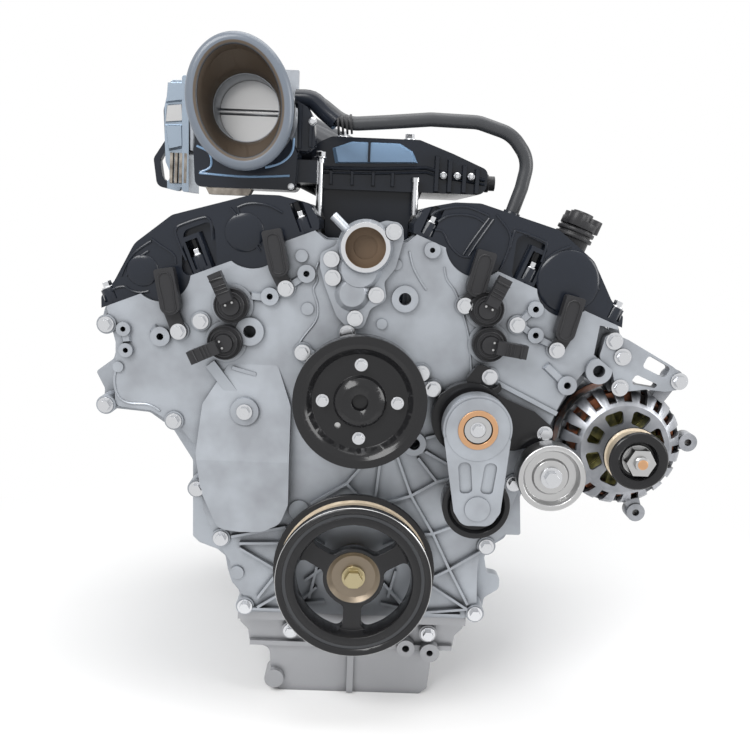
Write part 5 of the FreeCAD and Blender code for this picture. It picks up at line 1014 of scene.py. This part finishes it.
def hose_trim():
    """The hose's elbow and clamp rings, and the block beside the duct."""
    piece("hose_elbow", *tube(curved(ELBOW), 10.5, sides=16), "gloss")
    rings = []
    for x in CLAMP_RINGS:
        z = CLAMP_Z + CLAMP_SLOPE * x
        ends = [(x, CLAMP_Y, z), (x + CLAMP_WIDE, CLAMP_Y, z + CLAMP_RISE)]
        rings.append(tube(ends, CLAMP_RADIUS, sides=24))
    piece("hose_clamp_rings", *merged(rings), "matt")
    block = [plate(SIDE_BLOCK, -410, -398, 2)]
    block += [ridge(start, end, 1.5, -413, -409) for start, end in SIDE_BLOCK_RIBS]
    piece("duct_side_block", *merged(block), "gloss")


def saddle_trim():
    """The edges of the throttle's saddle, bright with a painted sky reflection, and its foot
    plate.
    """
    beads = [tube(curved(on_face(line, SADDLE_FACE)), 1.3) for line in SADDLE_BEADS]
    # Painted sky reflection along the saddle's edges.
    piece("saddle_edge_reflection_beads", *merged(beads), "sheen")
    piece("saddle_foot_plate", *plate(SADDLE_FOOT, -421, -400), "tin")


def throttle_trim():
    """The gear cover's facets and flutes, the throttle's side pipe and the duct's inner lip."""
    face = GEAR_COVER_FACE
    for name, corners, rise, taper, finish_name in THROTTLE_FACETS:
        piece("throttle_facet_" + name, *plate(corners, face - rise, face, taper), finish_name)
    flutes = [ridge((x, 438), (x + 1, 472), 1.6, face - 4, face + 1) for x in FLUTES]
    piece("throttle_flutes", *merged(flutes), "tin")
    piece("throttle_side_pipe", *tube(SIDE_PIPE, 4.5, sides=14), "cast")
    lip = oval_loop((DUCT_X, DUCT_LIP_Y, DUCT_Z), *DUCT_LIP, 72, DUCT_LEAN)
    piece("duct_inner_lip", *tube(lip, 2.2, True, 10), "hose")


class ENGINE_OT_intake_work(bpy.types.Operator):
    """Add the fine work of the plenum, hose, saddle, throttle and duct"""
    bl_idname = "engine.intake_work"
    bl_label = "Intake detail"

    def execute(self, context):
        plenum_trim()
        hose_trim()
        saddle_trim()
        throttle_trim()
        return {"FINISHED"}


# Floor, lamps and camera

FLOOR_REACH = 6.0
SHADOW_CENTRE = (0.03, -0.25, 0)
SHADOW_NEAR, SHADOW_FAR = 0.42, 0.9
CAMERA_PLACE = (0, -1.4205, 0.4015)
CAMERA_PITCH, CAMERA_YAW, CAMERA_ROLL = 10.17, 0.964, 2.30

# name, place, aim, width and height, share of the key lamp's power
LAMPS = [
    ("key_lamp", (-1.2, -2.2, 2.0), (0, -0.4, 0.2), (1.6, 1.2), 1.0),
    ("top_lamp", (0.3, -0.2, 2.4), (0, -0.3, 0.2), (2.0, 2.0), 0.6),
    ("side_lamp", (2.2, -1.2, 0.9), (0, -0.4, 0.15), (0.8, 1.6), 0.45),
]


def looked_at(tree):
    """1 where the camera, a mirror or glass looks at the surface."""
    path = tree.nodes.new("ShaderNodeLightPath")
    seen = path.outputs["Is Camera Ray"]
    for ray in ("Is Glossy Ray", "Is Transmission Ray"):
        seen = calculate(tree, "MAXIMUM", seen, path.outputs[ray])
    return seen


def white_sky(tree, light):
    """The light lights the scene, and white shows where the sky is looked at."""
    white = tree.nodes.new("ShaderNodeBackground")
    white.inputs["Color"].default_value = (1, 1, 1, 1)
    white.inputs["Strength"].default_value = 1.0
    sky = mixed(tree, looked_at(tree), light, white.outputs[0])
    tree.links.new(sky, tree.nodes["World Output"].inputs["Surface"])


def far_white(tree, shader):
    """The floor keeps the shadow near the engine and is looked at as plain white far from it."""
    fade = tree.nodes.new("ShaderNodeMapRange")
    fade.interpolation_type = "SMOOTHSTEP"
    fade.inputs["From Min"].default_value = SHADOW_NEAR
    fade.inputs["From Max"].default_value = SHADOW_FAR
    tree.links.new(distance_from(tree, SHADOW_CENTRE, UPWARD), fade.inputs["Value"])
    share = calculate(tree, "MULTIPLY", looked_at(tree), fade.outputs["Result"])
    white = tree.nodes.new("ShaderNodeEmission")
    floor = mixed(tree, share, shader.outputs[0], white.outputs[0])
    tree.links.new(floor, tree.nodes["Material Output"].inputs["Surface"])


def lamp(name, place, aim, size, power):
    data = bpy.data.lights.new(name, "AREA")
    data.shape = "RECTANGLE"
    data.size, data.size_y = size
    data.energy = power
    obj = bpy.data.objects.new(name, data)
    obj.location = place
    obj.rotation_euler = (Vector(aim) - Vector(place)).to_track_quat("-Z", "Y").to_euler()
    bpy.context.scene.collection.objects.link(obj)


def camera():
    """The photograph's view, as a place and three turns in degrees."""
    pitch, yaw, roll = (math.radians(angle)
                        for angle in (CAMERA_PITCH, CAMERA_YAW, CAMERA_ROLL))
    look = Vector((math.sin(yaw) * math.cos(pitch), math.cos(yaw) * math.cos(pitch),
                   -math.sin(pitch)))
    side = look.cross(Vector(UPWARD)).normalized()
    up = side.cross(look)
    right = side * math.cos(roll) + up * math.sin(roll)
    top = up * math.cos(roll) - side * math.sin(roll)
    data = bpy.data.cameras.new("camera")
    data.lens = bpy.context.scene.engine_stage.lens
    data.sensor_width = 36
    obj = bpy.data.objects.new("camera", data)
    turn = Matrix((right, top, -look)).transposed().to_4x4()
    obj.matrix_world = Matrix.Translation(CAMERA_PLACE) @ turn
    bpy.context.scene.collection.objects.link(obj)
    bpy.context.scene.camera = obj


def floor(colour):
    """A large pale floor under the oil pan."""
    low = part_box("oil_pan")[0].z
    reach = FLOOR_REACH
    corners = [(-reach, -reach, low), (reach, -reach, low), (reach, reach, low),
               (-reach, reach, low)]
    mesh = bpy.data.meshes.new("floor")
    mesh.from_pydata(corners, [], [(0, 1, 2, 3)])
    obj = bpy.data.objects.new("floor", mesh)
    bpy.context.scene.collection.objects.link(obj)
    material = bpy.data.materials.new("floor_white")
    material.use_nodes = True
    tree = material.node_tree
    shader = tree.nodes["Principled BSDF"]
    shader.inputs["Base Color"].default_value = (*colour, 1)
    shader.inputs["Roughness"].default_value = 0.9
    far_white(tree, shader)
    mesh.materials.append(material)


class ENGINE_OT_stage(bpy.types.Operator):
    """Lay the floor and set the lamps and the camera"""
    bl_idname = "engine.stage"
    bl_label = "Floor, lamps and camera"

    def execute(self, context):
        stage = context.scene.engine_stage
        floor(stage.floor)
        world = bpy.data.worlds.new("studio")
        world.use_nodes = True
        context.scene.world = world
        light = world.node_tree.nodes["Background"]
        light.inputs["Color"].default_value = (1, 1, 1, 1)
        light.inputs["Strength"].default_value = stage.world
        white_sky(world.node_tree, light.outputs[0])
        for name, place, aim, size, share in LAMPS:
            lamp(name, place, aim, size, stage.key * share)
        camera()
        context.scene.view_settings.view_transform = "Standard"
        return {"FINISHED"}


OPERATORS = [
    ENGINE_OT_castings, ENGINE_OT_block_work, ENGINE_OT_mouldings, ENGINE_OT_belt_drive,
    ENGINE_OT_alternator, ENGINE_OT_fasteners, ENGINE_OT_cover_work,
    ENGINE_OT_timing_cover_work, ENGINE_OT_plug_work, ENGINE_OT_pulley_work,
    ENGINE_OT_intake_work, ENGINE_OT_stage,
]


class ENGINE_PT_panel(bpy.types.Panel):
    """Lists the engine's pieces and settings"""
    bl_idname = "ENGINE_PT_panel"
    bl_label = "V-Six Engine"
    bl_space_type = "VIEW_3D"
    bl_region_type = "UI"
    bl_category = "Engine"

    def draw(self, context):
        layout = self.layout
        for operator in OPERATORS:
            layout.operator(operator.bl_idname)
        for group in ("engine_colours", "engine_sizes", "engine_stage"):
            settings = getattr(context.scene, group)
            for name in settings.__annotations__:
                layout.prop(settings, name)


CLASSES = [EngineColours, EngineSizes, EngineStage, *OPERATORS, ENGINE_PT_panel]


def register():
    for item in CLASSES:
        bpy.utils.register_class(item)
    pointer = bpy.props.PointerProperty
    bpy.types.Scene.engine_colours = pointer(type=EngineColours)
    bpy.types.Scene.engine_sizes = pointer(type=EngineSizes)
    bpy.types.Scene.engine_stage = pointer(type=EngineStage)


def unregister():
    for group in ("engine_colours", "engine_sizes", "engine_stage"):
        delattr(bpy.types.Scene, group)
    for item in reversed(CLASSES):
        bpy.utils.unregister_class(item)


def main():
    register()
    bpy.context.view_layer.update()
    for operator in OPERATORS:
        group, name = operator.bl_idname.split(".")
        getattr(getattr(bpy.ops, group), name)()


if __name__ == "__main__":
    main()
